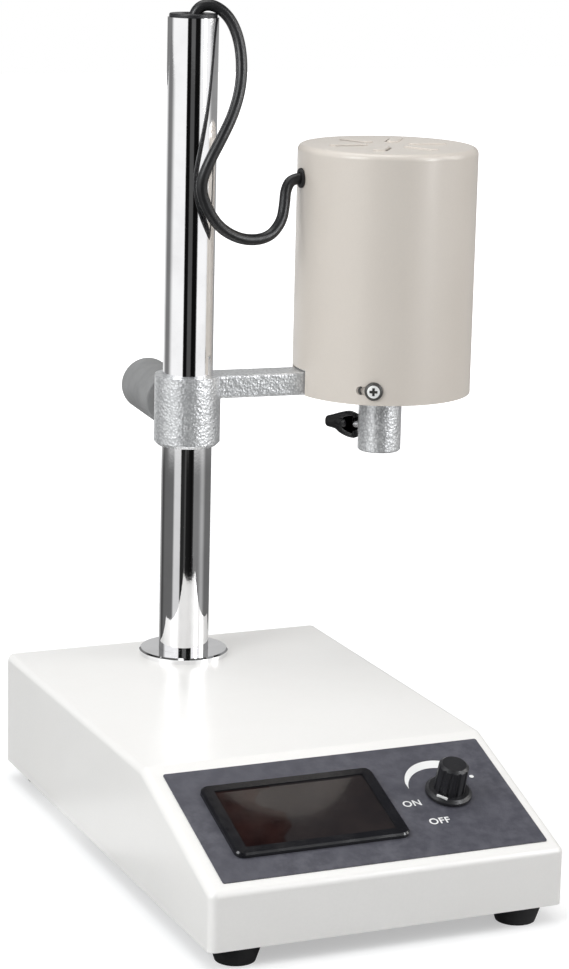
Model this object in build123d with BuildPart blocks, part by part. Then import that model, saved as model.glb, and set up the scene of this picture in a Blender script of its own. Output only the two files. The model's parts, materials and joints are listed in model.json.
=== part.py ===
"""Rotor stator homogenizer: a motor head on a chromed column over a sloping control base.

All lengths are millimetres. Z is up, Y runs from the front of the base to the back, X to the right.
The origin is on the bench, under the middle of the outline without the motor's cord.
"""

import math
import os

from build123d import *

# ---------------------------------------------------------------- fits
FIT = 0.2  # a loose part in its opening, each side
RUN = 0.03  # a turning or sliding fit, each side
SEAT = 0.1  # a screw in its thread or a pad at its seat

# ---------------------------------------------------------------- base
BASE_W = 170.0
BASE_D = 278.0
BODY_H = 56.0  # the housing without its feet
LIP_H = 26.5  # the upright front face
SLOPE_D = 85.0  # the sloping panel, measured level
SHEET = 1.2
EDGE_R = 3.5
PLATE_T = 1.5
TAB_W = 16.0
TAB_L = 12.0
TAB_T = 1.5
TAB_INSET = 60.0  # from the base's ends to the tabs that the bottom plate is screwed to
FOOT_H = 9.0
FOOT_TOP_R = 12.0
FOOT_BOTTOM_R = 9.0
FOOT_SIDE_INSET = 17.0
FOOT_END_INSET = 12.5
FOOT_RECESS_R = 5.0
FOOT_RECESS_H = 4.0
FOOT_SCREW_R = 2.0
VENT_COUNT = 8
VENT_PITCH = 7.0
VENT_L = 34.0
VENT_W = 2.5

# ---------------------------------------------------------------- control panel
LABEL_X = 1.0
LABEL_S = 44.5  # up the slope, from its front edge
LABEL_W = 156.0
LABEL_H = 77.0
LABEL_T = 0.5
BEZEL_INSET = 54.2  # from the label's left end
BEZEL_S = 44.6
BEZEL_W = 80.0
BEZEL_H = 47.0
BEZEL_T = 2.4
BEZEL_R = 4.0
WINDOW_W = 69.0
WINDOW_H = 38.0
WINDOW_T = 1.6
WINDOW_RECESS = 0.8
WINDOW_LEDGE = 0.8
BEZEL_WALL = 1.6
BEZEL_DEPTH = 12.0
DISPLAY_BOARD_T = 1.6
DIGIT_COUNT = 4
DIGIT_PITCH = 15.0
DIGIT_W = 12.5
DIGIT_H = 19.0
KNOB_INSET = 31.0  # from the label's right end
KNOB_S = 46.5
KNOB_SKIRT_R = 10.7
KNOB_SKIRT_H = 2.4
KNOB_GRIP_R = 7.3
KNOB_GRIP_H = 13.6
KNOB_GAP = 0.6  # from the label to the skirt
FLUTE_COUNT = 12
FLUTE_R = 1.0
POT_R = 8.5
POT_H = 9.0
POT_BUSH_R = 3.5
POT_NUT_AF = 10.0
POT_NUT_H = 2.0
POT_SHAFT_R = 3.0
POT_SHAFT_H = 12.0  # above the label

# ---------------------------------------------------------------- inside the base
STANDOFF_H = 8.0
STANDOFF_R = 3.0
BOARD_SIDE_INSET = 20.0  # its right edge, from the base's right side
BOARD_BACK_INSET = 134.0  # from the base's back
BOARD_GAP = 1.7  # to the transformer's winding
BOARD_D = 80.0
BOARD_T = 1.6
BOARD_HOLE_INSET = 5.0
TERMINAL_W = 30.0
TERMINAL_D = 10.0
TERMINAL_H = 10.0
SINK_W = 34.0
SINK_D = 22.0
SINK_H = 24.0
SINK_FINS = 6
SINK_FIN_T = 1.6
CAPACITOR_R = 5.0
CAPACITOR_H = 16.0
TRANSFORMER_SIDE_INSET = 33.0  # from the base's left side
TRANSFORMER_BACK_INSET = 104.0  # from the base's back
CORE_W = 57.0  # along Y
CORE_T = 30.0  # along X
CORE_H = 40.0
CORE_LEG = 9.0
STRAP_T = 1.0
STRAP_FOOT = 10.0
INLET_INSET = 40.0  # from the base's right side
INLET_Z = 34.0
INLET_FLANGE_W = 50.0
INLET_FLANGE_H = 24.0
INLET_FLANGE_T = 2.5
INLET_BODY_W = 28.0
INLET_BODY_H = 20.0
INLET_BODY_L = 22.0
INLET_MOUTH_W = 24.8
INLET_MOUTH_H = 16.4
INLET_MOUTH_L = 17.0
PIN_W = 2.0
PIN_H = 5.0
PIN_L = 12.0
PIN_TAIL = 7.0
PIN_PITCH = 7.0
INLET_SCREW_PITCH = 40.0
INLET_SCREW_R = 1.5
FUSE_INSET = 12.0  # from the base's left side
FUSE_Z = 34.0
FUSE_BODY_R = 6.0
FUSE_BODY_L = 30.0
FUSE_FLANGE_R = 7.5
FUSE_FLANGE_T = 2.0
FUSE_BORE_R = 4.3
FUSE_CAP_R = 6.0
FUSE_CAP_L = 9.0
FUSE_STEM_L = 9.0
FUSE_R = 2.5
FUSE_L = 20.0

# ---------------------------------------------------------------- column
COLUMN_INSET = 28.5  # from the base's back
COLUMN_R = 12.5
COLUMN_WALL = 1.5
COLUMN_H = 319.6  # above the base's top
FLANGE_R = 22.5
FLANGE_T = 3.0
NUT_FLANGE_R = 25.0
NUT_FLANGE_T = 3.0
COLUMN_NUT_AF = 36.0
COLUMN_NUT_H = 8.0
COLUMN_TAIL = 2.0  # below its nut
CABLE_R = 2.8
BUSH_LIP = 1.7
BUSH_DEPTH = 9.0

# ---------------------------------------------------------------- head
ARM_ANGLE = -4.5  # degrees from +X, as the head is left standing
REACH = 102.9  # from the column's axis to the motor's
HEAD_REST = 108.6  # from the base's top to the collar
COLLAR_WALL = 4.0
COLLAR_H = 35.4
COLLAR_CHAMFER = 1.8
ARM_H = 11.7
ARM_W = 17.0
ARM_EDGE_R = 1.5
CLAMP_DROP = 18.5  # from the collar's top to the clamp screw
BOSS_R = 9.0
BOSS_REACH = 24.0  # from the column's axis
CLAMP_SCREW_R = 4.0
CLAMP_PITCH = 1.25
CLAMP_PAD_T = 2.0
CLAMP_KNOB_R = 13.7
CLAMP_KNOB_NEAR = 27.5  # from the column's axis
CLAMP_KNOB_L = 45.5
CLAMP_BORE_L = 22.0
NOSE_R = 11.0
NOSE_H = 31.8  # below the motor's seat
NOSE_CHAMFER = 0.8
TOOL_BORE_R = 8.0
TOOL_BORE_L = 20.0
COUPLING_R = 6.0
COUPLING_L = 9.5
COUPLING_SQUARE = 5.2
TOOL_SCREW_ANGLE = 130.0  # degrees, from the arm's direction
TOOL_SCREW_Z = 11.6  # above the nose's lower end
TOOL_SCREW_R = 2.5
TOOL_TIP_R = 1.7
TOOL_TIP_T = 1.5
WING_NEAR = 14.5  # from the motor's axis
WING_L = 18.5
WING_HALF = 6.0
WING_TIP_R = 2.4
WING_T = 5.5
SEAT_FLOOR = 4.5
SEAT_RIM = 5.0
SEAT_H = 12.0

# ---------------------------------------------------------------- motor
BEARING_R = 11.0
BEARING_T = 7.0
SHAFT_R = 4.0
JOURNAL_R = 3.5
FAN_R = 28.5
FAN_GAP = 3.5  # from the seat's top to the fan
FAN_H = 10.0
FAN_BLADES = 10
FAN_DISC_T = 1.5
CORE_GAP = 13.0  # from the fan to the field core, round the lower windings
FIELD_R = 40.5
FIELD_FLAT = 32.0
FIELD_H = 40.0
BORE_R = 21.0
AIR_GAP = 0.5
COIL_IN = 22.2
COIL_OUT = 30.0
COIL_Y = 18.0
COIL_T = 8.0
COIL_END = 8.0
ARMATURE_SLOTS = 12
ARMATURE_SLOT_W = 1.8
ARMATURE_SLOT_D = 6.0
WINDING_R = 16.5
WINDING_END = 8.0
COMMUTATOR_GAP = 2.0
COMMUTATOR_R = 11.0
COMMUTATOR_H = 14.0
RISER_R = 13.0
RISER_H = 2.0
BRACKET_GAP = 4.0  # from the commutator to the bracket
BRACKET_T = 4.0
BRACKET_W = 22.0
BRACKET_BOSS_R = 12.5
BRACKET_BOSS_H = 5.0
TOP_BEARING_R = 9.5
TOP_BEARING_T = 6.0
TIE_R = 2.0
TIE_BOSS_R = 4.5
TIE_X = 35.5
TIE_HEAD_R = 3.5
TIE_GRIP = 3.5  # of the bolt in the seat's floor
TIE_HEAD_H = 3.0
BRUSH_W = 6.0
BRUSH_H = 5.0
BRUSH_L = 11.0
HOLDER_WALL = 2.0
HOLDER_L = 18.0
SPRING_R = 2.2
COVER_T = 1.2
COVER_GAP = 3.6
COVER_EDGE_R = 5.5
HEADROOM = 7.3
NOTCH_SIDE = 0.9  # between the arm and the cover's notch
NOTCH_ABOVE = 1.0
COVER_SCREWS = 3
COVER_SCREW_ANGLE = -115.3  # degrees, from the arm's direction
COVER_SCREW_Z = 7.0  # above the seat's lower face
COVER_SCREW_R = 1.9
COVER_HEAD_R = 4.4
COVER_HEAD_H = 2.0
BAYONET_ANGLE = 8.5  # degrees that the cover turns on to its screws
CROSS_L = 4.6
CROSS_W = 1.1
CROSS_D = 1.0
GROMMET_DROP = 15.9  # from the cover's top
GROMMET_R = 5.0
GROMMET_LIP = 1.0
CORD_R = 2.8
CORD_FIT = 0.3  # round the cord, in its grommet and its bush
BUSH_MOUTH = 2.8  # flare of the bush round the cord
LOUVRES = 6
LOUVRE_PITCH_R = 21.0
LOUVRE_L = 20.0
LOUVRE_W = 6.0
LOUVRE_RISE = 1.4
LOUVRE_SLIT = 1.2
EXHAUST_COUNT = 4
EXHAUST_R = 26.0
EXHAUST_L = 18.0
EXHAUST_W = 5.0

# ---------------------------------------------------------------- worked out from those
BEZEL_X = LABEL_X - LABEL_W / 2 + BEZEL_INSET
KNOB_X = LABEL_X + LABEL_W / 2 - KNOB_INSET
CORE_WINDOW = (CORE_W - 4 * CORE_LEG) / 2
COIL_BUILD = CORE_WINDOW - FIT
TRANSFORMER_X = -BASE_W / 2 + TRANSFORMER_SIDE_INSET
TRANSFORMER_Y = BASE_D / 2 - TRANSFORMER_BACK_INSET
BOARD_LEFT = TRANSFORMER_X + CORE_T / 2 + COIL_BUILD + BOARD_GAP
BOARD_RIGHT = BASE_W / 2 - BOARD_SIDE_INSET
BOARD_W = BOARD_RIGHT - BOARD_LEFT
BOARD_X = (BOARD_LEFT + BOARD_RIGHT) / 2
BOARD_Y = BASE_D / 2 - BOARD_BACK_INSET
INLET_X = BASE_W / 2 - INLET_INSET
FUSE_X = -BASE_W / 2 + FUSE_INSET
COLUMN_Y = BASE_D / 2 - COLUMN_INSET
COLUMN_TOP_R = COLUMN_R - COLUMN_WALL
COVER_R = FIELD_R + COVER_GAP + COVER_T
ARM_RAD = math.radians(ARM_ANGLE)
CLAMP_KNOB_FAR = CLAMP_KNOB_NEAR + CLAMP_KNOB_L
OUTLINE_RIGHT = REACH * math.cos(ARM_RAD) + COVER_R + SEAT + COVER_HEAD_H
OUTLINE_BACK = COLUMN_Y + CLAMP_KNOB_FAR * math.cos(ARM_RAD) + CLAMP_KNOB_R * abs(math.sin(ARM_RAD))
BASE_X = (BASE_W / 2 - OUTLINE_RIGHT) / 2
BASE_Y = (BASE_D / 2 - OUTLINE_BACK) / 2
BODY_Z = FOOT_H
BODY_TOP = BODY_Z + BODY_H
LIP_Z = BODY_Z + LIP_H
SLOPE_RAD = math.atan2(BODY_TOP - LIP_Z, SLOPE_D)
PLATE_TOP = BODY_Z + PLATE_T
BOARD_Z = PLATE_TOP + STANDOFF_H
BOARD_TOP = BOARD_Z + BOARD_T
COLUMN_TOP = BODY_TOP + COLUMN_H
COLUMN_BOTTOM = BODY_TOP - SHEET - NUT_FLANGE_T - COLUMN_NUT_H - COLUMN_TAIL
BUSH_TOP = COLUMN_TOP + BUSH_LIP + SEAT
COLLAR_Z = BODY_TOP + HEAD_REST
COLLAR_TOP = COLLAR_Z + COLLAR_H
COLLAR_R = COLUMN_R + COLLAR_WALL
ARM_Z = COLLAR_TOP - ARM_H
CLAMP_Z = COLLAR_TOP - CLAMP_DROP
SEAT_Z = ARM_Z + 0.2
SEAT_TOP = SEAT_Z + SEAT_H
SEAT_R = COVER_R - COVER_T - FIT
NOSE_Z = SEAT_Z - NOSE_H
CHAMBER_R = COUPLING_R + 1.0
BEARING_Z = SEAT_TOP - BEARING_T
FAN_Z = SEAT_TOP + FAN_GAP
FIELD_Z = FAN_Z + FAN_H + CORE_GAP
FIELD_TOP = FIELD_Z + FIELD_H
COMMUTATOR_Z = FIELD_TOP + WINDING_END + COMMUTATOR_GAP
COMMUTATOR_TOP = COMMUTATOR_Z + COMMUTATOR_H
BRACKET_Z = COMMUTATOR_TOP + BRACKET_GAP
BRACKET_TOP = BRACKET_Z + BRACKET_T
COVER_TOP = BRACKET_TOP + BRACKET_BOSS_H + HEADROOM + COVER_T
GROMMET_Z = COVER_TOP - GROMMET_DROP
BRUSH_Z = COMMUTATOR_Z + RISER_H + (COMMUTATOR_H - RISER_H) / 2
TOOL_SCREW_HEIGHT = NOSE_Z + TOOL_SCREW_Z
PANEL_SHAFT_TOP = LABEL_T + POT_SHAFT_H


def inside(frame, origin, x_dir, z_dir):
    """A plane whose origin and directions are given in another plane's own coordinates."""
    start = frame.from_local_coords(Vector(*origin))
    x_end = frame.from_local_coords(Vector(*origin) + Vector(*x_dir))
    z_end = frame.from_local_coords(Vector(*origin) + Vector(*z_dir))
    return Plane(origin=start, x_dir=x_end - start, z_dir=z_end - start)


def save(piece, name):
    """Labels a finished piece and writes it under its own name."""
    piece.part.label = name
    export_step(piece.part, f"parts/{name}.step")


os.makedirs("parts", exist_ok=True)

BASE = Plane(origin=(BASE_X, BASE_Y, 0))
SIDE = inside(BASE, (-BASE_W / 2, 0, 0), (0, 1, 0), (1, 0, 0))
BACK = inside(BASE, (0, BASE_D / 2, 0), (-1, 0, 0), (0, 1, 0))
PANEL = inside(
    BASE, (0, -BASE_D / 2, LIP_Z), (1, 0, 0), (0, -math.sin(SLOPE_RAD), math.cos(SLOPE_RAD))
)
COLUMN = inside(
    BASE, (0, COLUMN_Y, 0), (math.cos(ARM_RAD), math.sin(ARM_RAD), 0), (0, 0, 1)
)
MOTOR = inside(COLUMN, (REACH, 0, 0), (1, 0, 0), (0, 0, 1))
CLAMP = inside(COLUMN, (0, 0, CLAMP_Z), (1, 0, 0), (0, 1, 0))
TOOL_RAD = math.radians(TOOL_SCREW_ANGLE)
TOOL_SCREW = inside(
    MOTOR,
    (0, 0, TOOL_SCREW_HEIGHT),
    (-math.sin(TOOL_RAD), math.cos(TOOL_RAD), 0),
    (math.cos(TOOL_RAD), math.sin(TOOL_RAD), 0),
)
FUSE = inside(BACK, (-FUSE_X, FUSE_Z, 0), (1, 0, 0), (0, 0, 1))
INLET = inside(BACK, (-INLET_X, INLET_Z, 0), (1, 0, 0), (0, 0, 1))
GROMMET = inside(MOTOR, (-COVER_R, 0, GROMMET_Z), (0, -1, 0), (-1, 0, 0))


def cover_screw_plane(index):
    """The plane of one cover screw, on the motor's axis and facing outwards."""
    turn = math.radians(COVER_SCREW_ANGLE + 360 * index / COVER_SCREWS)
    return inside(
        MOTOR,
        (0, 0, SEAT_Z + COVER_SCREW_Z),
        (-math.sin(turn), math.cos(turn), 0),
        (math.cos(turn), math.sin(turn), 0),
    )


FOOT_PLACES = [
    (x * (BASE_W / 2 - FOOT_SIDE_INSET), y * (BASE_D / 2 - FOOT_END_INSET))
    for x in (-1, 1)
    for y in (-1, 1)
]
TAB_X = BASE_W / 2 - SHEET - TAB_L / 2
TAB_PLACES = [(x * TAB_X, y * (BASE_D / 2 - TAB_INSET)) for x in (-1, 1) for y in (-1, 1)]
BOARD_HOLES = [
    (
        BOARD_X + x * (BOARD_W / 2 - BOARD_HOLE_INSET),
        BOARD_Y + y * (BOARD_D / 2 - BOARD_HOLE_INSET),
    )
    for x in (-1, 1)
    for y in (-1, 1)
]

# ================================================================ base housing
with BuildPart() as base_cover:
    with BuildSketch(SIDE):
        with BuildLine():
            Polyline(
                (-BASE_D / 2, BODY_Z),
                (-BASE_D / 2, LIP_Z),
                (-BASE_D / 2 + SLOPE_D, BODY_TOP),
                (BASE_D / 2, BODY_TOP),
                (BASE_D / 2, BODY_Z),
                close=True,
            )
        make_face()
    extrude(amount=BASE_W)
    upper_edges = base_cover.edges().filter_by(lambda e: e.bounding_box().max.Z > BODY_Z + EDGE_R)
    fillet(upper_edges, EDGE_R)
    offset(amount=-SHEET, openings=base_cover.faces().sort_by(Axis.Z)[0])
    # tabs folded in from the side walls, over the bottom plate
    with BuildSketch(BASE.offset(PLATE_TOP)):
        with Locations(*TAB_PLACES):
            Rectangle(TAB_L + SHEET, TAB_W)
    extrude(amount=TAB_T)
    with BuildSketch(BASE.offset(PLATE_TOP)):
        with Locations(*TAB_PLACES):
            Circle(INLET_SCREW_R + SEAT)
    extrude(amount=TAB_T, mode=Mode.SUBTRACT)
    # column
    with BuildSketch(COLUMN.offset(BODY_TOP - 2 * SHEET)):
        Circle(COLUMN_R + FIT)
    extrude(amount=3 * SHEET, mode=Mode.SUBTRACT)
    # display and speed control
    with BuildSketch(PANEL.offset(-2 * SHEET)):
        with Locations((BEZEL_X, BEZEL_S)):
            Rectangle(
                WINDOW_W + 2 * (WINDOW_LEDGE + BEZEL_WALL + FIT),
                WINDOW_H + 2 * (WINDOW_LEDGE + BEZEL_WALL + FIT),
            )
        with Locations((KNOB_X, KNOB_S)):
            Circle(POT_BUSH_R + FIT)
    extrude(amount=3 * SHEET, mode=Mode.SUBTRACT)
    # power inlet and fuse holder
    with BuildSketch(INLET.offset(-2 * SHEET)):
        Rectangle(INLET_BODY_W + 2 * FIT, INLET_BODY_H + 2 * FIT)
        with Locations((-INLET_SCREW_PITCH / 2, 0), (INLET_SCREW_PITCH / 2, 0)):
            Circle(INLET_SCREW_R + FIT)
    extrude(amount=3 * SHEET, mode=Mode.SUBTRACT)
    with BuildSketch(FUSE.offset(-2 * SHEET)):
        Circle(FUSE_BODY_R + FIT)
    extrude(amount=3 * SHEET, mode=Mode.SUBTRACT)
save(base_cover, "base_cover")

with BuildPart() as bottom_plate:
    with BuildSketch(BASE.offset(BODY_Z)):
        RectangleRounded(BASE_W - 2 * (SHEET + FIT), BASE_D - 2 * (SHEET + FIT), EDGE_R)
        with Locations(*FOOT_PLACES):
            Circle(FOOT_SCREW_R + FIT, mode=Mode.SUBTRACT)
        with Locations(*TAB_PLACES, *BOARD_HOLES):
            Circle(INLET_SCREW_R + FIT, mode=Mode.SUBTRACT)
        with Locations((0, -BASE_D / 4)):
            with GridLocations(VENT_PITCH, 0, VENT_COUNT, 1):
                SlotOverall(VENT_L, VENT_W, rotation=90, mode=Mode.SUBTRACT)
    extrude(amount=PLATE_T)
save(bottom_plate, "bottom_plate")

PAN_R = 2 * INLET_SCREW_R
PAN_H = 1.8
with BuildPart() as bottom_screws:
    with BuildSketch(BASE.offset(BODY_Z - PAN_H)):
        with Locations(*TAB_PLACES):
            Circle(PAN_R)
    extrude(amount=PAN_H)
    with BuildSketch(BASE.offset(BODY_Z)):
        with Locations(*TAB_PLACES):
            Circle(INLET_SCREW_R)
    extrude(amount=PLATE_T + TAB_T + PAN_H)
save(bottom_screws, "bottom_screws")

FOOT_TAPER = -math.degrees(math.atan2(FOOT_TOP_R - FOOT_BOTTOM_R, FOOT_H))
with BuildPart() as rubber_feet:
    with BuildSketch(BASE):
        with Locations(*FOOT_PLACES):
            Circle(FOOT_BOTTOM_R)
    extrude(amount=FOOT_H, taper=FOOT_TAPER)
    with BuildSketch(BASE):
        with Locations(*FOOT_PLACES):
            Circle(FOOT_SCREW_R + FIT)
    extrude(amount=FOOT_H, mode=Mode.SUBTRACT)
    with BuildSketch(BASE):
        with Locations(*FOOT_PLACES):
            Circle(FOOT_RECESS_R)
    extrude(amount=FOOT_RECESS_H, mode=Mode.SUBTRACT)
save(rubber_feet, "rubber_feet")

FOOT_HEAD_R = 2 * FOOT_SCREW_R
FOOT_HEAD_H = 2.2
FOOT_NUT_AF = 3.5 * FOOT_SCREW_R
FOOT_NUT_H = 3.2
with BuildPart() as foot_screws:
    with BuildSketch(BASE.offset(FOOT_RECESS_H - FOOT_HEAD_H)):
        with Locations(*FOOT_PLACES):
            Circle(FOOT_HEAD_R)
    extrude(amount=FOOT_HEAD_H)
    with BuildSketch(BASE.offset(FOOT_RECESS_H)):
        with Locations(*FOOT_PLACES):
            Circle(FOOT_SCREW_R)
    extrude(amount=PLATE_TOP - FOOT_RECESS_H + FOOT_NUT_H + SHEET)
save(foot_screws, "foot_screws")

with BuildPart() as foot_nuts:
    with BuildSketch(BASE.offset(PLATE_TOP)):
        with Locations(*FOOT_PLACES):
            RegularPolygon(FOOT_NUT_AF / 2, 6, major_radius=False)
            Circle(FOOT_SCREW_R + SEAT, mode=Mode.SUBTRACT)
    extrude(amount=FOOT_NUT_H)
save(foot_nuts, "foot_nuts")

# ================================================================ control panel
BODY_OPEN_W = WINDOW_W + 2 * WINDOW_LEDGE
BODY_OPEN_H = WINDOW_H + 2 * WINDOW_LEDGE
with BuildPart() as control_panel_label:
    with BuildSketch(PANEL):
        with Locations((LABEL_X, LABEL_S)):
            RectangleRounded(LABEL_W, LABEL_H, 1.0)
        with Locations((BEZEL_X, BEZEL_S)):
            Rectangle(
                BODY_OPEN_W + 2 * (BEZEL_WALL + FIT),
                BODY_OPEN_H + 2 * (BEZEL_WALL + FIT),
                mode=Mode.SUBTRACT,
            )
        with Locations((KNOB_X, KNOB_S)):
            Circle(POT_BUSH_R + FIT, mode=Mode.SUBTRACT)
    extrude(amount=LABEL_T)
save(control_panel_label, "control_panel_label")

BEZEL_TOP = LABEL_T + BEZEL_T
WINDOW_TOP = BEZEL_TOP - WINDOW_RECESS
with BuildPart() as display_bezel:
    with BuildSketch(PANEL.offset(LABEL_T)):
        with Locations((BEZEL_X, BEZEL_S)):
            RectangleRounded(BEZEL_W, BEZEL_H, BEZEL_R)
    extrude(amount=BEZEL_T)
    bezel_face = display_bezel.faces().sort_by(Axis(PANEL.origin, PANEL.z_dir))[-1]
    chamfer(bezel_face.edges(), 0.8)
    with BuildSketch(PANEL.offset(LABEL_T)):
        with Locations((BEZEL_X, BEZEL_S)):
            Rectangle(BODY_OPEN_W + 2 * BEZEL_WALL, BODY_OPEN_H + 2 * BEZEL_WALL)
    extrude(amount=-BEZEL_DEPTH)
    with BuildSketch(PANEL.offset(LABEL_T - BEZEL_DEPTH)):
        with Locations((BEZEL_X, BEZEL_S)):
            Rectangle(BODY_OPEN_W, BODY_OPEN_H)
    extrude(amount=BEZEL_DEPTH + WINDOW_TOP - LABEL_T, mode=Mode.SUBTRACT)
    with BuildSketch(PANEL.offset(LABEL_T)):
        with Locations((BEZEL_X, BEZEL_S)):
            Rectangle(WINDOW_W, WINDOW_H)
    extrude(amount=2 * BEZEL_T, mode=Mode.SUBTRACT)
save(display_bezel, "display_bezel")

with BuildPart() as display_window:
    with BuildSketch(PANEL.offset(WINDOW_TOP - WINDOW_T)):
        with Locations((BEZEL_X, BEZEL_S)):
            Rectangle(BODY_OPEN_W - 2 * SEAT, BODY_OPEN_H - 2 * SEAT)
    extrude(amount=WINDOW_T)
save(display_window, "display_window")

DISPLAY_BOARD_H = LABEL_T - BEZEL_DEPTH + 2.0
with BuildPart() as display_board:
    with BuildSketch(PANEL.offset(DISPLAY_BOARD_H)):
        with Locations((BEZEL_X, BEZEL_S)):
            Rectangle(BODY_OPEN_W - 2 * FIT, BODY_OPEN_H - 2 * FIT)
    extrude(amount=DISPLAY_BOARD_T)
save(display_board, "display_board")

DIGIT_FOOT = DISPLAY_BOARD_H + DISPLAY_BOARD_T
with BuildPart() as display_digits:
    with BuildSketch(PANEL.offset(DIGIT_FOOT)):
        with Locations((BEZEL_X, BEZEL_S)):
            with GridLocations(DIGIT_PITCH, 0, DIGIT_COUNT, 1):
                Rectangle(DIGIT_W, DIGIT_H)
    extrude(amount=WINDOW_TOP - WINDOW_T - DIGIT_FOOT - SEAT)
save(display_digits, "display_digits")

with BuildPart() as speed_potentiometer:
    with BuildSketch(PANEL.offset(-SHEET)):
        with Locations((KNOB_X, KNOB_S)):
            Circle(POT_R)
    extrude(amount=-POT_H)
    with BuildSketch(PANEL.offset(-SHEET - POT_H)):
        with Locations((KNOB_X, KNOB_S - POT_R)):
            with GridLocations(5.0, 0, 3, 1):
                Rectangle(2.0, 6.0)
    extrude(amount=1.0)
    with BuildSketch(PANEL.offset(-SHEET)):
        with Locations((KNOB_X, KNOB_S)):
            Circle(POT_BUSH_R)
    extrude(amount=SHEET + LABEL_T + POT_NUT_H + 0.4)
    with BuildSketch(PANEL.offset(-SHEET - POT_H / 2)):
        with Locations((KNOB_X, KNOB_S)):
            Circle(POT_SHAFT_R + RUN)
    extrude(amount=POT_H + SHEET + LABEL_T + POT_NUT_H, mode=Mode.SUBTRACT)
save(speed_potentiometer, "speed_potentiometer")

with BuildPart() as potentiometer_nut:
    with BuildSketch(PANEL.offset(LABEL_T)):
        with Locations((KNOB_X, KNOB_S)):
            RegularPolygon(POT_NUT_AF / 2, 6, major_radius=False)
            Circle(POT_BUSH_R + SEAT, mode=Mode.SUBTRACT)
    extrude(amount=POT_NUT_H)
save(potentiometer_nut, "potentiometer_nut")

SHAFT_FOOT = -SHEET - POT_H / 2 + SEAT
with BuildPart() as potentiometer_shaft:
    with BuildSketch(PANEL.offset(SHAFT_FOOT)):
        with Locations((KNOB_X, KNOB_S)):
            Circle(POT_SHAFT_R)
    extrude(amount=PANEL_SHAFT_TOP - SHAFT_FOOT)
save(potentiometer_shaft, "potentiometer_shaft")

KNOB_FOOT = LABEL_T + KNOB_GAP
KNOB_RECESS_R = POT_NUT_AF / 2 / math.cos(math.pi / 6) + 3 * FIT
KNOB_RECESS_H = POT_NUT_H + 1.0
KNOB_AXIS = inside(PANEL, (KNOB_X, KNOB_S, KNOB_FOOT), (1, 0, 0), (0, 0, 1))
KNOB_SECTION = inside(KNOB_AXIS, (0, 0, 0), (1, 0, 0), (0, -1, 0))
KNOB_TOTAL = KNOB_SKIRT_H + KNOB_GRIP_H
with BuildPart() as speed_knob:
    with BuildSketch(KNOB_SECTION):
        with BuildLine():
            Polyline(
                (0, 0),
                (KNOB_SKIRT_R, 0),
                (KNOB_SKIRT_R, 0.5 * KNOB_SKIRT_H),
                (KNOB_SKIRT_R - 1.4, KNOB_SKIRT_H),
                (KNOB_GRIP_R, KNOB_SKIRT_H),
                (KNOB_GRIP_R - 0.4, KNOB_TOTAL - 1.2),
                (KNOB_GRIP_R - 1.8, KNOB_TOTAL),
                (0, KNOB_TOTAL - 0.3),
                close=True,
            )
        make_face()
    revolve(axis=Axis(KNOB_AXIS.origin, KNOB_AXIS.z_dir))
    with BuildSketch(KNOB_AXIS.offset(KNOB_SKIRT_H)):
        with PolarLocations(KNOB_GRIP_R + 0.2, FLUTE_COUNT):
            Circle(FLUTE_R)
    extrude(amount=KNOB_GRIP_H, mode=Mode.SUBTRACT)
    with BuildSketch(KNOB_AXIS):
        Circle(KNOB_RECESS_R)
    extrude(amount=KNOB_RECESS_H, mode=Mode.SUBTRACT)
    with BuildSketch(KNOB_AXIS):
        Circle(POT_SHAFT_R + RUN)
    extrude(amount=PANEL_SHAFT_TOP - KNOB_FOOT + SEAT, mode=Mode.SUBTRACT)
save(speed_knob, "speed_knob")

# ================================================================ inside the base
with BuildPart() as board_standoffs:
    with BuildSketch(BASE.offset(PLATE_TOP)):
        with Locations(*BOARD_HOLES):
            Circle(STANDOFF_R)
            Circle(INLET_SCREW_R, mode=Mode.SUBTRACT)
    extrude(amount=STANDOFF_H)
save(board_standoffs, "board_standoffs")

with BuildPart() as control_board:
    with BuildSketch(BASE.offset(BOARD_Z)):
        with Locations((BOARD_X, BOARD_Y)):
            Rectangle(BOARD_W, BOARD_D)
        with Locations(*BOARD_HOLES):
            Circle(INLET_SCREW_R, mode=Mode.SUBTRACT)
    extrude(amount=BOARD_T)
save(control_board, "control_board")

TERMINAL_Y = BOARD_Y + BOARD_D / 2 - TERMINAL_D / 2
with BuildPart() as terminal_block:
    with BuildSketch(BASE.offset(BOARD_TOP)):
        with Locations((0, TERMINAL_Y)):
            Rectangle(TERMINAL_W, TERMINAL_D)
    extrude(amount=TERMINAL_H)
    with BuildSketch(BASE.offset(BOARD_TOP + TERMINAL_H)):
        with Locations((0, TERMINAL_Y)):
            with GridLocations(TERMINAL_W / 4, 0, 4, 1):
                Circle(1.6)
    extrude(amount=-0.4 * TERMINAL_H, mode=Mode.SUBTRACT)
save(terminal_block, "terminal_block")

SINK_X = BOARD_X + BOARD_W / 2 - SINK_W / 2 - 2 * BOARD_HOLE_INSET
with BuildPart() as heat_sink:
    with BuildSketch(BASE.offset(BOARD_TOP)):
        with Locations((SINK_X, BOARD_Y)):
            Rectangle(SINK_W, SINK_D)
    extrude(amount=SINK_FIN_T)
    with BuildSketch(BASE.offset(BOARD_TOP)):
        with Locations((SINK_X, BOARD_Y)):
            with GridLocations((SINK_W - SINK_FIN_T) / (SINK_FINS - 1), 0, SINK_FINS, 1):
                Rectangle(SINK_FIN_T, SINK_D)
    extrude(amount=SINK_H)
save(heat_sink, "heat_sink")

with BuildPart() as board_capacitors:
    with BuildSketch(BASE.offset(BOARD_TOP)):
        with Locations((BOARD_X - 0.3 * BOARD_W, BOARD_Y)):
            with GridLocations(0, 3 * CAPACITOR_R, 1, 3):
                Circle(CAPACITOR_R)
    extrude(amount=CAPACITOR_H)
save(board_capacitors, "board_capacitors")

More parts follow.
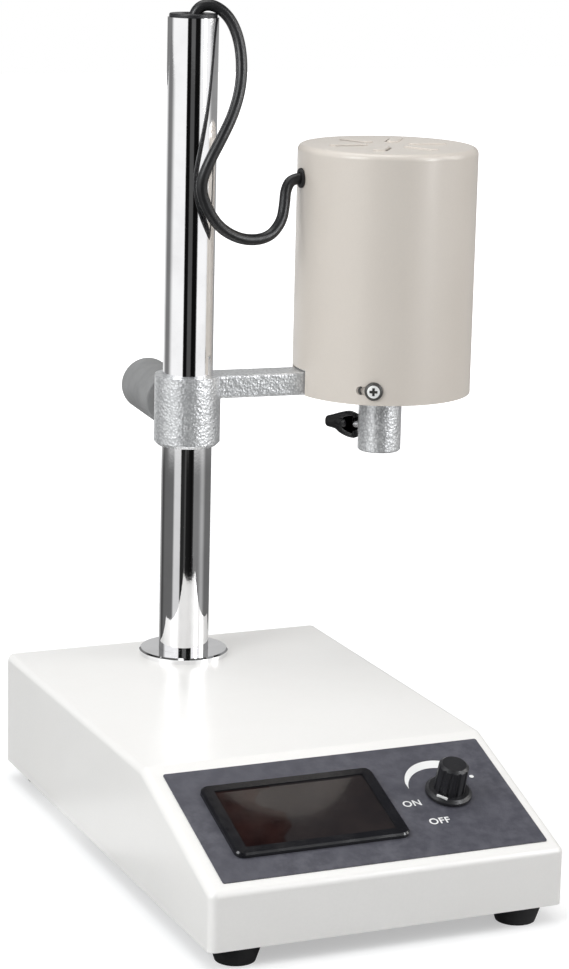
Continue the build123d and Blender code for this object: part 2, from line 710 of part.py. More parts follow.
TRANSFORMER_SIDE = inside(
    BASE, (TRANSFORMER_X - CORE_T / 2, TRANSFORMER_Y, PLATE_TOP), (0, 1, 0), (1, 0, 0)
)
with BuildPart() as transformer_core:
    with BuildSketch(TRANSFORMER_SIDE):
        with Locations((0, CORE_H / 2)):
            Rectangle(CORE_W, CORE_H)
            with GridLocations(CORE_WINDOW + 2 * CORE_LEG, 0, 2, 1):
                Rectangle(CORE_WINDOW, CORE_H - 2 * CORE_LEG, mode=Mode.SUBTRACT)
    extrude(amount=CORE_T)
save(transformer_core, "transformer_core")

with BuildPart() as transformer_winding:
    with BuildSketch(BASE.offset(PLATE_TOP + CORE_LEG + FIT)):
        with Locations((TRANSFORMER_X, TRANSFORMER_Y)):
            RectangleRounded(CORE_T + 2 * COIL_BUILD, 2 * CORE_LEG + 2 * COIL_BUILD, 3.0)
            Rectangle(CORE_T + 2 * FIT, 2 * CORE_LEG + 2 * FIT, mode=Mode.SUBTRACT)
    extrude(amount=CORE_H - 2 * CORE_LEG - 2 * FIT)
save(transformer_winding, "transformer_winding")

STRAP_W = 0.6 * CORE_T
with BuildPart() as transformer_strap:
    with BuildSketch(TRANSFORMER_SIDE.offset((CORE_T - STRAP_W) / 2)):
        with Locations((0, (CORE_H + FIT + STRAP_T) / 2)):
            Rectangle(CORE_W + 2 * (FIT + STRAP_T), CORE_H + FIT + STRAP_T)
        with Locations((0, STRAP_T / 2)):
            Rectangle(CORE_W + 2 * (FIT + STRAP_T + STRAP_FOOT), STRAP_T)
        with Locations((0, (CORE_H + FIT) / 2)):
            Rectangle(CORE_W + 2 * FIT, CORE_H + FIT, mode=Mode.SUBTRACT)
    extrude(amount=STRAP_W)
save(transformer_strap, "transformer_strap")

# ================================================================ back of the base
with BuildPart() as power_inlet:
    with BuildSketch(INLET):
        RectangleRounded(INLET_FLANGE_W, INLET_FLANGE_H, 4.0)
        with Locations((-INLET_SCREW_PITCH / 2, 0), (INLET_SCREW_PITCH / 2, 0)):
            Circle(INLET_SCREW_R + FIT, mode=Mode.SUBTRACT)
    extrude(amount=INLET_FLANGE_T)
    with BuildSketch(INLET):
        Rectangle(INLET_BODY_W, INLET_BODY_H)
    extrude(amount=-INLET_BODY_L)
    with BuildSketch(INLET.offset(INLET_FLANGE_T)):
        RectangleRounded(INLET_MOUTH_W, INLET_MOUTH_H, 1.5)
    extrude(amount=-INLET_MOUTH_L, mode=Mode.SUBTRACT)
    with BuildSketch(INLET.offset(-INLET_BODY_L)):
        with Locations((-PIN_PITCH, 0), (0, 2.0), (PIN_PITCH, 0)):
            Rectangle(PIN_W + 2 * SEAT, PIN_H + 2 * SEAT)
    extrude(amount=INLET_BODY_L, mode=Mode.SUBTRACT)
save(power_inlet, "power_inlet")

INLET_FLOOR = INLET_FLANGE_T - INLET_MOUTH_L
with BuildPart() as inlet_pins:
    with BuildSketch(INLET.offset(-INLET_BODY_L - PIN_TAIL)):
        with Locations((-PIN_PITCH, 0), (0, 2.0), (PIN_PITCH, 0)):
            Rectangle(PIN_W, PIN_H)
    extrude(amount=INLET_FLOOR + PIN_L + INLET_BODY_L + PIN_TAIL)
save(inlet_pins, "inlet_pins")

with BuildPart() as inlet_screws:
    with BuildSketch(INLET.offset(INLET_FLANGE_T)):
        with Locations((-INLET_SCREW_PITCH / 2, 0), (INLET_SCREW_PITCH / 2, 0)):
            Circle(PAN_R - 0.2)
    extrude(amount=PAN_H)
    with BuildSketch(INLET.offset(INLET_FLANGE_T)):
        with Locations((-INLET_SCREW_PITCH / 2, 0), (INLET_SCREW_PITCH / 2, 0)):
            Circle(INLET_SCREW_R)
    extrude(amount=-INLET_FLANGE_T - SHEET - 3.0)
save(inlet_screws, "inlet_screws")

with BuildPart() as fuse_holder:
    with BuildSketch(FUSE):
        Circle(FUSE_FLANGE_R)
    extrude(amount=FUSE_FLANGE_T)
    with BuildSketch(FUSE):
        Circle(FUSE_BODY_R)
    extrude(amount=-FUSE_BODY_L)
    with BuildSketch(FUSE.offset(FUSE_FLANGE_T)):
        Circle(FUSE_BORE_R)
    extrude(amount=-(FUSE_BODY_L + FUSE_FLANGE_T - 1.5), mode=Mode.SUBTRACT)
save(fuse_holder, "fuse_holder")

with BuildPart() as fuse_cap:
    with BuildSketch(FUSE.offset(FUSE_FLANGE_T + SEAT)):
        Circle(FUSE_CAP_R)
    extrude(amount=FUSE_CAP_L)
    fillet(fuse_cap.edges().filter_by(GeomType.CIRCLE).sort_by(Axis.Y)[-1], 0.8)
    with BuildSketch(FUSE.offset(FUSE_FLANGE_T + SEAT + FUSE_CAP_L)):
        Rectangle(2 * FUSE_CAP_R, 1.4)
    extrude(amount=-1.2, mode=Mode.SUBTRACT)
    with BuildSketch(FUSE.offset(FUSE_FLANGE_T + SEAT)):
        Circle(FUSE_BORE_R - RUN)
    extrude(amount=-FUSE_STEM_L)
    with BuildSketch(FUSE.offset(FUSE_FLANGE_T + SEAT - FUSE_STEM_L)):
        Circle(FUSE_R + RUN)
    extrude(amount=FUSE_STEM_L, mode=Mode.SUBTRACT)
save(fuse_cap, "fuse_cap")

with BuildPart() as fuse:
    with BuildSketch(FUSE.offset(FUSE_FLANGE_T)):
        Circle(FUSE_R)
    extrude(amount=-FUSE_L)
save(fuse, "fuse")

# ================================================================ column
with BuildPart() as column_flange:
    with BuildSketch(COLUMN.offset(BODY_TOP)):
        Circle(FLANGE_R)
    extrude(amount=FLANGE_T)
    chamfer(column_flange.edges().sort_by(Axis.Z)[-1], 0.8)
    with BuildSketch(COLUMN.offset(BODY_TOP)):
        Circle(COLUMN_R + RUN)
    extrude(amount=FLANGE_T, mode=Mode.SUBTRACT)
save(column_flange, "column_flange")

with BuildPart() as column_tube:
    with BuildSketch(COLUMN.offset(COLUMN_BOTTOM)):
        Circle(COLUMN_R)
        Circle(COLUMN_TOP_R, mode=Mode.SUBTRACT)
    extrude(amount=COLUMN_TOP - COLUMN_BOTTOM)
save(column_tube, "column_tube")

# a flanged nut clamps the column to the sheet between it and the flange above
with BuildPart() as column_nut:
    with BuildSketch(COLUMN.offset(BODY_TOP - SHEET)):
        Circle(NUT_FLANGE_R)
    extrude(amount=-NUT_FLANGE_T)
    with BuildSketch(COLUMN.offset(BODY_TOP - SHEET - NUT_FLANGE_T)):
        RegularPolygon(COLUMN_NUT_AF / 2, 6, major_radius=False)
    extrude(amount=-COLUMN_NUT_H)
    with BuildSketch(COLUMN.offset(BODY_TOP - SHEET)):
        Circle(COLUMN_R + SEAT)
    extrude(amount=-NUT_FLANGE_T - COLUMN_NUT_H, mode=Mode.SUBTRACT)
save(column_nut, "column_nut")

# the supply cable hangs down inside the column and turns forward to the terminal block
CABLE_LOW = BOARD_TOP + TERMINAL_H / 2
CABLE_TOP = BUSH_TOP - BUSH_LIP - SEAT - BUSH_DEPTH - SEAT
CABLE_ROUTE = [
    BASE.from_local_coords(Vector(0, COLUMN_Y, CABLE_TOP)),
    BASE.from_local_coords(Vector(0, COLUMN_Y, CABLE_LOW)),
    BASE.from_local_coords(Vector(0, TERMINAL_Y + TERMINAL_D / 2 + SEAT, CABLE_LOW)),
]
CABLE_BEND = 0.45 * (COLUMN_Y - TERMINAL_Y - TERMINAL_D / 2)
with BuildPart() as column_cable:
    with BuildLine() as cable_line:
        FilletPolyline(*CABLE_ROUTE, radius=CABLE_BEND)
    with BuildSketch(Plane(origin=CABLE_ROUTE[0], z_dir=(0, 0, -1))):
        Circle(CABLE_R)
    sweep()
save(column_cable, "column_cable")

with BuildPart() as cord_bush:
    with BuildSketch(COLUMN.offset(COLUMN_TOP + SEAT)):
        Circle(COLUMN_R - 0.5 * COLUMN_WALL)
    extrude(amount=BUSH_LIP)
    fillet(cord_bush.edges().sort_by(Axis.Z)[-1], 0.6)
    with BuildSketch(COLUMN.offset(COLUMN_TOP + SEAT)):
        Circle(COLUMN_TOP_R - RUN)
    extrude(amount=-BUSH_DEPTH)
    with BuildSketch(COLUMN.offset(BUSH_TOP)):
        Circle(CORD_R + CORD_FIT + BUSH_MOUTH)
    extrude(amount=-1.4 * BUSH_MOUTH, taper=math.degrees(math.atan(1 / 1.4)), mode=Mode.SUBTRACT)
    with BuildSketch(COLUMN.offset(BUSH_TOP)):
        Circle(CORD_R + CORD_FIT)
    extrude(amount=-BUSH_TOP + CABLE_TOP, mode=Mode.SUBTRACT)
save(cord_bush, "cord_bush")

# ================================================================ head casting and its clamps
with BuildPart() as head_casting:
    # arm, rounded along its edges
    with BuildSketch(COLUMN.offset(ARM_Z)):
        with Locations((REACH / 2, 0)):
            Rectangle(REACH, ARM_W)
    extrude(amount=ARM_H)
    fillet(head_casting.edges().filter_by(Axis(COLUMN.origin, COLUMN.x_dir)), ARM_EDGE_R)
    # collar and clamp boss
    with BuildSketch(COLUMN.offset(COLLAR_Z)):
        Circle(COLLAR_R)
    extrude(amount=COLLAR_H)
    chamfer(head_casting.edges().sort_by(Axis.Z)[0], COLLAR_CHAMFER)
    with BuildSketch(CLAMP):
        Circle(BOSS_R)
    extrude(amount=BOSS_REACH)
    # motor seat and tool nose
    with BuildSketch(MOTOR.offset(SEAT_Z)):
        Circle(SEAT_R)
    extrude(amount=SEAT_H)
    with BuildSketch(MOTOR.offset(SEAT_Z)):
        Circle(NOSE_R)
    extrude(amount=-NOSE_H)
    chamfer(head_casting.edges().sort_by(Axis.Z)[0], NOSE_CHAMFER)
    # the seat is a dish with a bearing boss
    with BuildSketch(MOTOR.offset(SEAT_Z + SEAT_FLOOR)):
        Circle(SEAT_R - SEAT_RIM)
        Circle(BEARING_R + 3.0, mode=Mode.SUBTRACT)
    extrude(amount=SEAT_H, mode=Mode.SUBTRACT)
    # bores
    with BuildSketch(COLUMN.offset(COLLAR_Z)):
        Circle(COLUMN_R + RUN)
    extrude(amount=COLLAR_H, mode=Mode.SUBTRACT)
    with BuildSketch(CLAMP):
        Circle(CLAMP_SCREW_R + SEAT)
    extrude(amount=BOSS_REACH, mode=Mode.SUBTRACT)
    with BuildSketch(MOTOR.offset(NOSE_Z)):
        Circle(TOOL_BORE_R)
    extrude(amount=TOOL_BORE_L, mode=Mode.SUBTRACT)
    with BuildSketch(MOTOR.offset(NOSE_Z + TOOL_BORE_L)):
        Circle(CHAMBER_R)
    extrude(amount=COUPLING_L + 3.0, mode=Mode.SUBTRACT)
    with BuildSketch(MOTOR.offset(NOSE_Z + TOOL_BORE_L)):
        Circle(SHAFT_R + 1.0)
    extrude(amount=SEAT_TOP - NOSE_Z - TOOL_BORE_L, mode=Mode.SUBTRACT)
    with BuildSketch(MOTOR.offset(BEARING_Z)):
        Circle(BEARING_R + RUN)
    extrude(amount=BEARING_T, mode=Mode.SUBTRACT)
    with BuildSketch(TOOL_SCREW):
        Circle(TOOL_SCREW_R + SEAT)
    extrude(amount=NOSE_R + 1.0, mode=Mode.SUBTRACT)
    with BuildSketch(MOTOR.offset(SEAT_Z + SEAT_FLOOR)):
        with Locations((-TIE_X, 0), (TIE_X, 0)):
            Circle(TIE_R + SEAT)
    extrude(amount=-TIE_GRIP, mode=Mode.SUBTRACT)
    for screw in range(COVER_SCREWS):
        with BuildSketch(cover_screw_plane(screw).offset(SEAT_R - SEAT_RIM - 1.0)):
            Circle(COVER_SCREW_R + SEAT)
        extrude(amount=SEAT_RIM + 2.0, mode=Mode.SUBTRACT)
    # exhaust openings in the seat's floor
    with BuildSketch(MOTOR.offset(SEAT_Z)):
        with PolarLocations(EXHAUST_R, EXHAUST_COUNT, start_angle=45):
            SlotOverall(EXHAUST_L, EXHAUST_W, rotation=90)
    extrude(amount=SEAT_FLOOR, mode=Mode.SUBTRACT)
save(head_casting, "head_casting")

with BuildPart() as clamp_pad:
    with BuildSketch(CLAMP):
        Circle(CLAMP_SCREW_R - SEAT)
    extrude(amount=COLUMN_R + CLAMP_PAD_T)
    with BuildSketch(COLUMN.offset(COLLAR_Z)):
        Circle(COLUMN_R + SEAT)
    extrude(amount=COLLAR_H, mode=Mode.SUBTRACT)
save(clamp_pad, "clamp_pad")

CLAMP_SCREW_START = COLUMN_R + CLAMP_PAD_T + SEAT
with BuildPart() as clamp_screw:
    with BuildSketch(CLAMP.offset(CLAMP_SCREW_START)):
        Circle(CLAMP_SCREW_R)
    extrude(amount=CLAMP_KNOB_NEAR + CLAMP_BORE_L - CLAMP_SCREW_START)
save(clamp_screw, "clamp_screw")

with BuildPart() as clamp_knob:
    with BuildSketch(CLAMP.offset(CLAMP_KNOB_NEAR)):
        Circle(CLAMP_KNOB_R)
    extrude(amount=CLAMP_KNOB_L)
    fillet(clamp_knob.edges().filter_by(GeomType.CIRCLE), 1.5)
    with BuildSketch(CLAMP.offset(CLAMP_KNOB_NEAR)):
        Circle(CLAMP_SCREW_R + SEAT)
    extrude(amount=CLAMP_BORE_L + SEAT, mode=Mode.SUBTRACT)
save(clamp_knob, "clamp_knob")

TIP_START = math.sqrt(TOOL_BORE_R**2 - TOOL_TIP_R**2) + SEAT
with BuildPart() as tool_clamp_tip:
    with BuildSketch(TOOL_SCREW.offset(TIP_START + SEAT)):
        Circle(TOOL_TIP_R)
    extrude(amount=TOOL_TIP_T)
save(tool_clamp_tip, "tool_clamp_tip")

SCREW_START = TIP_START + TOOL_TIP_T + 2 * SEAT
WING_BORE_L = 6.0
with BuildPart() as tool_clamp_screw:
    with BuildSketch(TOOL_SCREW.offset(SCREW_START)):
        Circle(TOOL_SCREW_R)
    extrude(amount=WING_NEAR + WING_BORE_L - SCREW_START)
save(tool_clamp_screw, "tool_clamp_screw")

# a tapered wing with two lobes either side of its screw
WING = inside(TOOL_SCREW, (-WING_T / 2, 0, WING_NEAR), (0, 0, 1), (1, 0, 0))
with BuildPart() as tool_clamp_knob:
    with BuildSketch(WING):
        with BuildLine():
            Spline(
                (0, 0.55 * WING_HALF),
                (0.12 * WING_L, 0.97 * WING_HALF),
                (0.3 * WING_L, WING_HALF),
                (0.62 * WING_L, 0.66 * WING_HALF),
                (WING_L - WING_TIP_R, WING_TIP_R),
            )
            ThreePointArc(
                (WING_L - WING_TIP_R, WING_TIP_R),
                (WING_L, 0),
                (WING_L - WING_TIP_R, -WING_TIP_R),
            )
            Spline(
                (WING_L - WING_TIP_R, -WING_TIP_R),
                (0.62 * WING_L, -0.66 * WING_HALF),
                (0.3 * WING_L, -WING_HALF),
                (0.12 * WING_L, -0.97 * WING_HALF),
                (0, -0.55 * WING_HALF),
            )
            Line((0, -0.55 * WING_HALF), (0, 0.55 * WING_HALF))
        make_face()
    extrude(amount=WING_T)
    with BuildSketch(TOOL_SCREW.offset(WING_NEAR)):
        Circle(TOOL_SCREW_R + SEAT)
    extrude(amount=WING_BORE_L + SEAT, mode=Mode.SUBTRACT)
save(tool_clamp_knob, "tool_clamp_knob")

# ================================================================ motor cover
COVER_Z = SEAT_Z - 0.2
with BuildPart() as motor_cover:
    with BuildSketch(MOTOR.offset(COVER_Z)):
        Circle(COVER_R)
    extrude(amount=COVER_TOP - COVER_Z)
    fillet(motor_cover.edges().sort_by(Axis.Z)[-1], COVER_EDGE_R)
    offset(amount=-COVER_T, openings=motor_cover.faces().sort_by(Axis.Z)[0])
    # pressed louvres over radial vents
    with BuildSketch(MOTOR.offset(COVER_TOP - COVER_T / 2)):
        with PolarLocations(LOUVRE_PITCH_R, LOUVRES):
            SlotOverall(LOUVRE_L, LOUVRE_W)
    extrude(amount=LOUVRE_RISE + COVER_T / 2)
    fillet(motor_cover.edges().group_by(Axis.Z)[-1], 1.0)
    with BuildSketch(MOTOR.offset(COVER_TOP - 2 * COVER_T)):
        with PolarLocations(LOUVRE_PITCH_R, LOUVRES):
            with Locations((0, LOUVRE_W / 2 + LOUVRE_SLIT / 2)):
                SlotOverall(0.8 * LOUVRE_L, LOUVRE_SLIT)
    extrude(amount=4 * COVER_T, mode=Mode.SUBTRACT)
    # notch over the arm, open at the lower edge
    with BuildSketch(MOTOR.offset(COVER_Z)):
        with Locations((-COVER_R, 0)):
            Rectangle(COVER_R, ARM_W + 2 * NOTCH_SIDE)
    extrude(amount=ARM_Z + ARM_H + NOTCH_ABOVE - COVER_Z, mode=Mode.SUBTRACT)
    # bayonet slots for the cover screws
    for screw in range(COVER_SCREWS):
        hole_plane = cover_screw_plane(screw).offset(SEAT_R)
        travel = math.radians(BAYONET_ANGLE) * COVER_R
        with BuildSketch(hole_plane):
            with Locations((-travel / 2, 0)):
                SlotCenterToCenter(travel, 2 * (COVER_SCREW_R + FIT))
        extrude(amount=3 * COVER_T, mode=Mode.SUBTRACT)
    with BuildSketch(GROMMET.offset(-3 * COVER_T)):
        Circle(GROMMET_R - GROMMET_LIP)
    extrude(amount=4 * COVER_T, mode=Mode.SUBTRACT)
save(motor_cover, "motor_cover")

with BuildPart() as cover_screws:
    for screw in range(COVER_SCREWS):
        head_plane = cover_screw_plane(screw).offset(COVER_R + SEAT)
        with BuildSketch(head_plane):
            Circle(COVER_HEAD_R)
        extrude(amount=COVER_HEAD_H, taper=12)
        with BuildSketch(head_plane):
            Circle(COVER_SCREW_R)
        extrude(amount=-(COVER_R + SEAT - SEAT_R + SEAT_RIM))
        with BuildSketch(head_plane.offset(COVER_HEAD_H)):
            Rectangle(CROSS_L, CROSS_W)
            Rectangle(CROSS_W, CROSS_L)
        extrude(amount=-CROSS_D, mode=Mode.SUBTRACT)
save(cover_screws, "cover_screws")

with BuildPart() as cord_grommet:
    with BuildSketch(GROMMET.offset(FIT)):
        Circle(GROMMET_R)
    extrude(amount=GROMMET_LIP, taper=10)
    with BuildSketch(GROMMET.offset(FIT)):
        Circle(GROMMET_R - GROMMET_LIP - SEAT)
    extrude(amount=-3 * COVER_T)
    with BuildSketch(GROMMET.offset(-3 * COVER_T)):
        Circle(GROMMET_R)
    extrude(amount=COVER_T)
    with BuildSketch(GROMMET.offset(-3 * COVER_T)):
        Circle(CORD_R + CORD_FIT)
    extrude(amount=3 * COVER_T + FIT + GROMMET_LIP, mode=Mode.SUBTRACT)
save(cord_grommet, "cord_grommet")

# ================================================================ motor stator
with BuildPart() as field_core:
    with BuildSketch(MOTOR.offset(FIELD_Z)):
        Circle(FIELD_R)
        Rectangle(2 * FIELD_R, 2 * FIELD_FLAT, mode=Mode.INTERSECT)
        Circle(BORE_R, mode=Mode.SUBTRACT)
        with GridLocations(COIL_IN + COIL_OUT, 0, 2, 1):
            Rectangle(COIL_OUT - COIL_IN + 2 * FIT, 2 * (COIL_Y + COIL_T + FIT), mode=Mode.SUBTRACT)
        Rectangle(2 * COIL_IN, 0.8 * BORE_R, mode=Mode.SUBTRACT)
        with Locations((-TIE_X, 0), (TIE_X, 0)):
            Circle(TIE_R + SEAT, mode=Mode.SUBTRACT)
    extrude(amount=FIELD_H)
save(field_core, "field_core")

COIL_FACE = inside(MOTOR, (0, COIL_Y, FIELD_Z + FIELD_H / 2), (1, 0, 0), (0, 1, 0))
COIL_BACK_FACE = inside(MOTOR, (0, -COIL_Y, FIELD_Z + FIELD_H / 2), (1, 0, 0), (0, -1, 0))
with BuildPart() as field_coils:
    for face in (COIL_FACE, COIL_BACK_FACE):
        with BuildSketch(face):
            RectangleRounded(2 * COIL_OUT, FIELD_H + 2 * COIL_END, 4.0)
            Rectangle(2 * COIL_IN, FIELD_H + 2 * FIT, mode=Mode.SUBTRACT)
        extrude(amount=COIL_T)
save(field_coils, "field_coils")

with BuildPart() as upper_bracket:
    with BuildSketch(MOTOR.offset(BRACKET_Z)):
        Rectangle(2 * (TIE_X + TIE_BOSS_R + 1.0), BRACKET_W)
        Rectangle(BRACKET_W, 2 * (COMMUTATOR_R + HOLDER_L))
    extrude(amount=BRACKET_T)
    with BuildSketch(MOTOR.offset(BRACKET_TOP)):
        Circle(BRACKET_BOSS_R)
    extrude(amount=BRACKET_BOSS_H)
    with BuildSketch(MOTOR.offset(BRACKET_Z)):
        with Locations((-TIE_X, 0), (TIE_X, 0)):
            Circle(TIE_BOSS_R)
    extrude(amount=FIELD_TOP - BRACKET_Z)
    with BuildSketch(MOTOR.offset(FIELD_TOP)):
        with Locations((-TIE_X, 0), (TIE_X, 0)):
            Circle(TIE_R + SEAT)
    extrude(amount=BRACKET_TOP - FIELD_TOP, mode=Mode.SUBTRACT)
    with BuildSketch(MOTOR.offset(BRACKET_Z)):
        Circle(TOP_BEARING_R + RUN)
    extrude(amount=TOP_BEARING_T + SEAT, mode=Mode.SUBTRACT)
save(upper_bracket, "upper_bracket")

with BuildPart() as tie_bolts:
    with BuildSketch(MOTOR.offset(BRACKET_TOP)):
        with Locations((-TIE_X, 0), (TIE_X, 0)):
            Circle(TIE_HEAD_R)
    extrude(amount=TIE_HEAD_H)
    with BuildSketch(MOTOR.offset(BRACKET_TOP)):
        with Locations((-TIE_X, 0), (TIE_X, 0)):
            Circle(TIE_R)
    extrude(amount=SEAT_Z + SEAT_FLOOR - TIE_GRIP + SEAT - BRACKET_TOP)
save(tie_bolts, "tie_bolts")

with BuildPart() as core_spacers:
    with BuildSketch(MOTOR.offset(SEAT_Z + SEAT_FLOOR)):
        with Locations((-TIE_X, 0), (TIE_X, 0)):
            Circle(TIE_BOSS_R - 1.2)
            Circle(TIE_R + SEAT, mode=Mode.SUBTRACT)
    extrude(amount=FIELD_Z - SEAT_Z - SEAT_FLOOR)
save(core_spacers, "core_spacers")

HOLDER_START = COMMUTATOR_R + 1.0
HOLDER_BOTTOM = BRUSH_Z - BRUSH_H / 2 - HOLDER_WALL
BRUSH_PLANES = [
    inside(MOTOR, (0, 0, BRUSH_Z), (1, 0, 0), (0, 1, 0)),
    inside(MOTOR, (0, 0, BRUSH_Z), (-1, 0, 0), (0, -1, 0)),
]
with BuildPart() as brush_holders:
    with BuildSketch(MOTOR.offset(HOLDER_BOTTOM)):
        with GridLocations(0, 2 * HOLDER_START + HOLDER_L - 1.0, 1, 2):
            Rectangle(BRUSH_W + 2 * HOLDER_WALL, HOLDER_L - 1.0)
    extrude(amount=BRACKET_Z - HOLDER_BOTTOM)
    for plane in BRUSH_PLANES:
        with BuildSketch(plane.offset(HOLDER_START - 1.0)):
            Rectangle(BRUSH_W + 2 * SEAT, BRUSH_H + 2 * SEAT)
        extrude(amount=HOLDER_L - HOLDER_WALL, mode=Mode.SUBTRACT)
save(brush_holders, "brush_holders")

with BuildPart() as carbon_brushes:
    for plane in BRUSH_PLANES:
        with BuildSketch(plane.offset(COMMUTATOR_R + SEAT)):
            Rectangle(BRUSH_W, BRUSH_H)
        extrude(amount=BRUSH_L)
save(carbon_brushes, "carbon_brushes")

SPRING_START = COMMUTATOR_R + BRUSH_L + 2 * SEAT
SPRING_END = HOLDER_START - 1.0 + HOLDER_L - HOLDER_WALL - SEAT
with BuildPart() as brush_springs:
    for plane in BRUSH_PLANES:
        with BuildSketch(plane.offset(SPRING_START)):
            Circle(SPRING_R)
            Circle(0.6 * SPRING_R, mode=Mode.SUBTRACT)
        extrude(amount=SPRING_END - SPRING_START)
save(brush_springs, "brush_springs")

# two shielded bearings: one in the seat, one in the bracket
BEARINGS = [
    (BEARING_Z, BEARING_T, BEARING_R, SHAFT_R),
    (BRACKET_Z, TOP_BEARING_T, TOP_BEARING_R, JOURNAL_R),
]
with BuildPart() as shaft_bearings:
    for height, width, outer, inner in BEARINGS:
        with BuildSketch(MOTOR.offset(height)):
            Circle(outer)
            Circle(inner + RUN, mode=Mode.SUBTRACT)
        extrude(amount=width)
        for shield in (height, height + width - 0.5):
            with BuildSketch(MOTOR.offset(shield)):
                Circle(outer - 2.0)
                Circle(inner + 1.6, mode=Mode.SUBTRACT)
            extrude(amount=0.5, mode=Mode.SUBTRACT)
save(shaft_bearings, "shaft_bearings")

# ================================================================ motor rotor
COUPLING_Z = NOSE_Z + TOOL_BORE_L + 0.5
SOCKET_L = 5.0
with BuildPart() as motor_shaft:
    with BuildSketch(MOTOR.offset(COUPLING_Z + SOCKET_L)):
        Circle(SHAFT_R)
    extrude(amount=BRACKET_Z - SEAT - COUPLING_Z - SOCKET_L)
    with BuildSketch(MOTOR.offset(BRACKET_Z - SEAT)):
        Circle(JOURNAL_R)
    extrude(amount=TOP_BEARING_T + 2 * SEAT)
save(motor_shaft, "motor_shaft")

with BuildPart() as drive_coupling:
    with BuildSketch(MOTOR.offset(COUPLING_Z)):
        Circle(COUPLING_R)
    extrude(amount=COUPLING_L)
    with BuildSketch(MOTOR.offset(COUPLING_Z)):
        Rectangle(COUPLING_SQUARE, COUPLING_SQUARE)
    extrude(amount=SOCKET_L, mode=Mode.SUBTRACT)
    with BuildSketch(MOTOR.offset(COUPLING_Z + SOCKET_L)):
        Circle(SHAFT_R + RUN)
    extrude(amount=COUPLING_L, mode=Mode.SUBTRACT)
save(drive_coupling, "drive_coupling")

with BuildPart() as cooling_fan:
    with BuildSketch(MOTOR.offset(FAN_Z)):
        Circle(FAN_R)
    extrude(amount=FAN_DISC_T)
    with BuildSketch(MOTOR.offset(FAN_Z)):
        Circle(SHAFT_R + 4.0)
    extrude(amount=FAN_H)
    with BuildSketch(MOTOR.offset(FAN_Z)):
        with PolarLocations((SHAFT_R + FAN_R) / 2 + 3.0, FAN_BLADES):
            Rectangle(FAN_R - SHAFT_R - 8.0, 1.2)
    extrude(amount=FAN_H)
    with BuildSketch(MOTOR.offset(FAN_Z)):
        Circle(SHAFT_R + RUN)
    extrude(amount=FAN_H, mode=Mode.SUBTRACT)
save(cooling_fan, "cooling_fan")

ARMATURE_R = BORE_R - AIR_GAP
with BuildPart() as armature_core:
    with BuildSketch(MOTOR.offset(FIELD_Z)):
        Circle(ARMATURE_R)
        with PolarLocations(ARMATURE_R - ARMATURE_SLOT_D / 2, ARMATURE_SLOTS):
            Rectangle(ARMATURE_SLOT_D + 1.0, ARMATURE_SLOT_W, mode=Mode.SUBTRACT)
        Circle(SHAFT_R + RUN, mode=Mode.SUBTRACT)
    extrude(amount=FIELD_H)
save(armature_core, "armature_core")

with BuildPart() as armature_windings:
    for start in (FIELD_Z - WINDING_END, FIELD_TOP):
        with BuildSketch(MOTOR.offset(start)):
            Circle(WINDING_R)
            Circle(SHAFT_R + 1.0, mode=Mode.SUBTRACT)
        extrude(amount=WINDING_END)
    winding_edges = armature_windings.edges().filter_by(GeomType.CIRCLE).group_by(Axis.Z)
    lowest = winding_edges[0].sort_by(SortBy.LENGTH)[-1]
    highest = winding_edges[-1].sort_by(SortBy.LENGTH)[-1]
    fillet([lowest, highest], 2.5)
save(armature_windings, "armature_windings")

with BuildPart() as commutator:
    with BuildSketch(MOTOR.offset(COMMUTATOR_Z)):
        Circle(COMMUTATOR_R)
    extrude(amount=COMMUTATOR_H)
    with BuildSketch(MOTOR.offset(COMMUTATOR_Z)):
        Circle(RISER_R)
    extrude(amount=RISER_H)
    with BuildSketch(MOTOR.offset(COMMUTATOR_Z)):
        Circle(SHAFT_R + RUN)
    extrude(amount=COMMUTATOR_H, mode=Mode.SUBTRACT)
save(commutator, "commutator")

# ================================================================ the motor's cord
# from the cover to the mouth of the column, in the column's own coordinates
GROMMET_X = REACH - COVER_R
CROSSING_Y = -COLUMN_R - CORD_R
CORD_ROUTE = [
    (GROMMET_X + 1.6, 0, GROMMET_Z),
    (GROMMET_X - 5.2, 0, GROMMET_Z),
    (GROMMET_X - 9.2, -2.3, GROMMET_Z - 5.2),
    (GROMMET_X - 10.6, -5.4, GROMMET_Z - 12.0),
    (GROMMET_X - 13.0, -8.4, GROMMET_Z - 20.6),
    (GROMMET_X - 20.6, -11.0, GROMMET_Z - 28.1),
    (GROMMET_X - 34.0, -13.5, GROMMET_Z - 28.6),
    (11.0, CROSSING_Y - 0.7, GROMMET_Z - 22.6),
    (3.0, CROSSING_Y - 3.2, GROMMET_Z - 12.6),
    (-2.0, CROSSING_Y - 5.7, GROMMET_Z - 0.6),
    (2.5, CROSSING_Y - 6.2, GROMMET_Z + 11.4),
    (9.0, CROSSING_Y - 5.7, COLUMN_TOP - 56.1),
    (15.5, CROSSING_Y - 3.2, COLUMN_TOP - 44.6),
    (20.0, -15.0, COLUMN_TOP - 32.1),
    (21.5, -11.0, COLUMN_TOP - 19.6),
    (20.5, -7.5, COLUMN_TOP - 8.6),
    (16.8, -4.6, BUSH_TOP - 1.4),
    (10.3, -2.0, BUSH_TOP + 4.0),
    (3.8, -0.6, BUSH_TOP + 4.0),
    (0, 0, BUSH_TOP - 0.8),
    (0, 0, BUSH_TOP - 5.4),
]
cord_points = [COLUMN.from_local_coords(Vector(*point)) for point in CORD_ROUTE]
cord_radii = []
cord_length = 0.0
for before, corner, after in zip(cord_points, cord_points[1:], cord_points[2:]):
    run_in = corner - before
    run_out = after - corner
    half_turn = math.radians(run_in.get_angle(run_out)) / 2
    cord_radii.append(0.45 * min(run_in.length, run_out.length) / math.tan(half_turn))
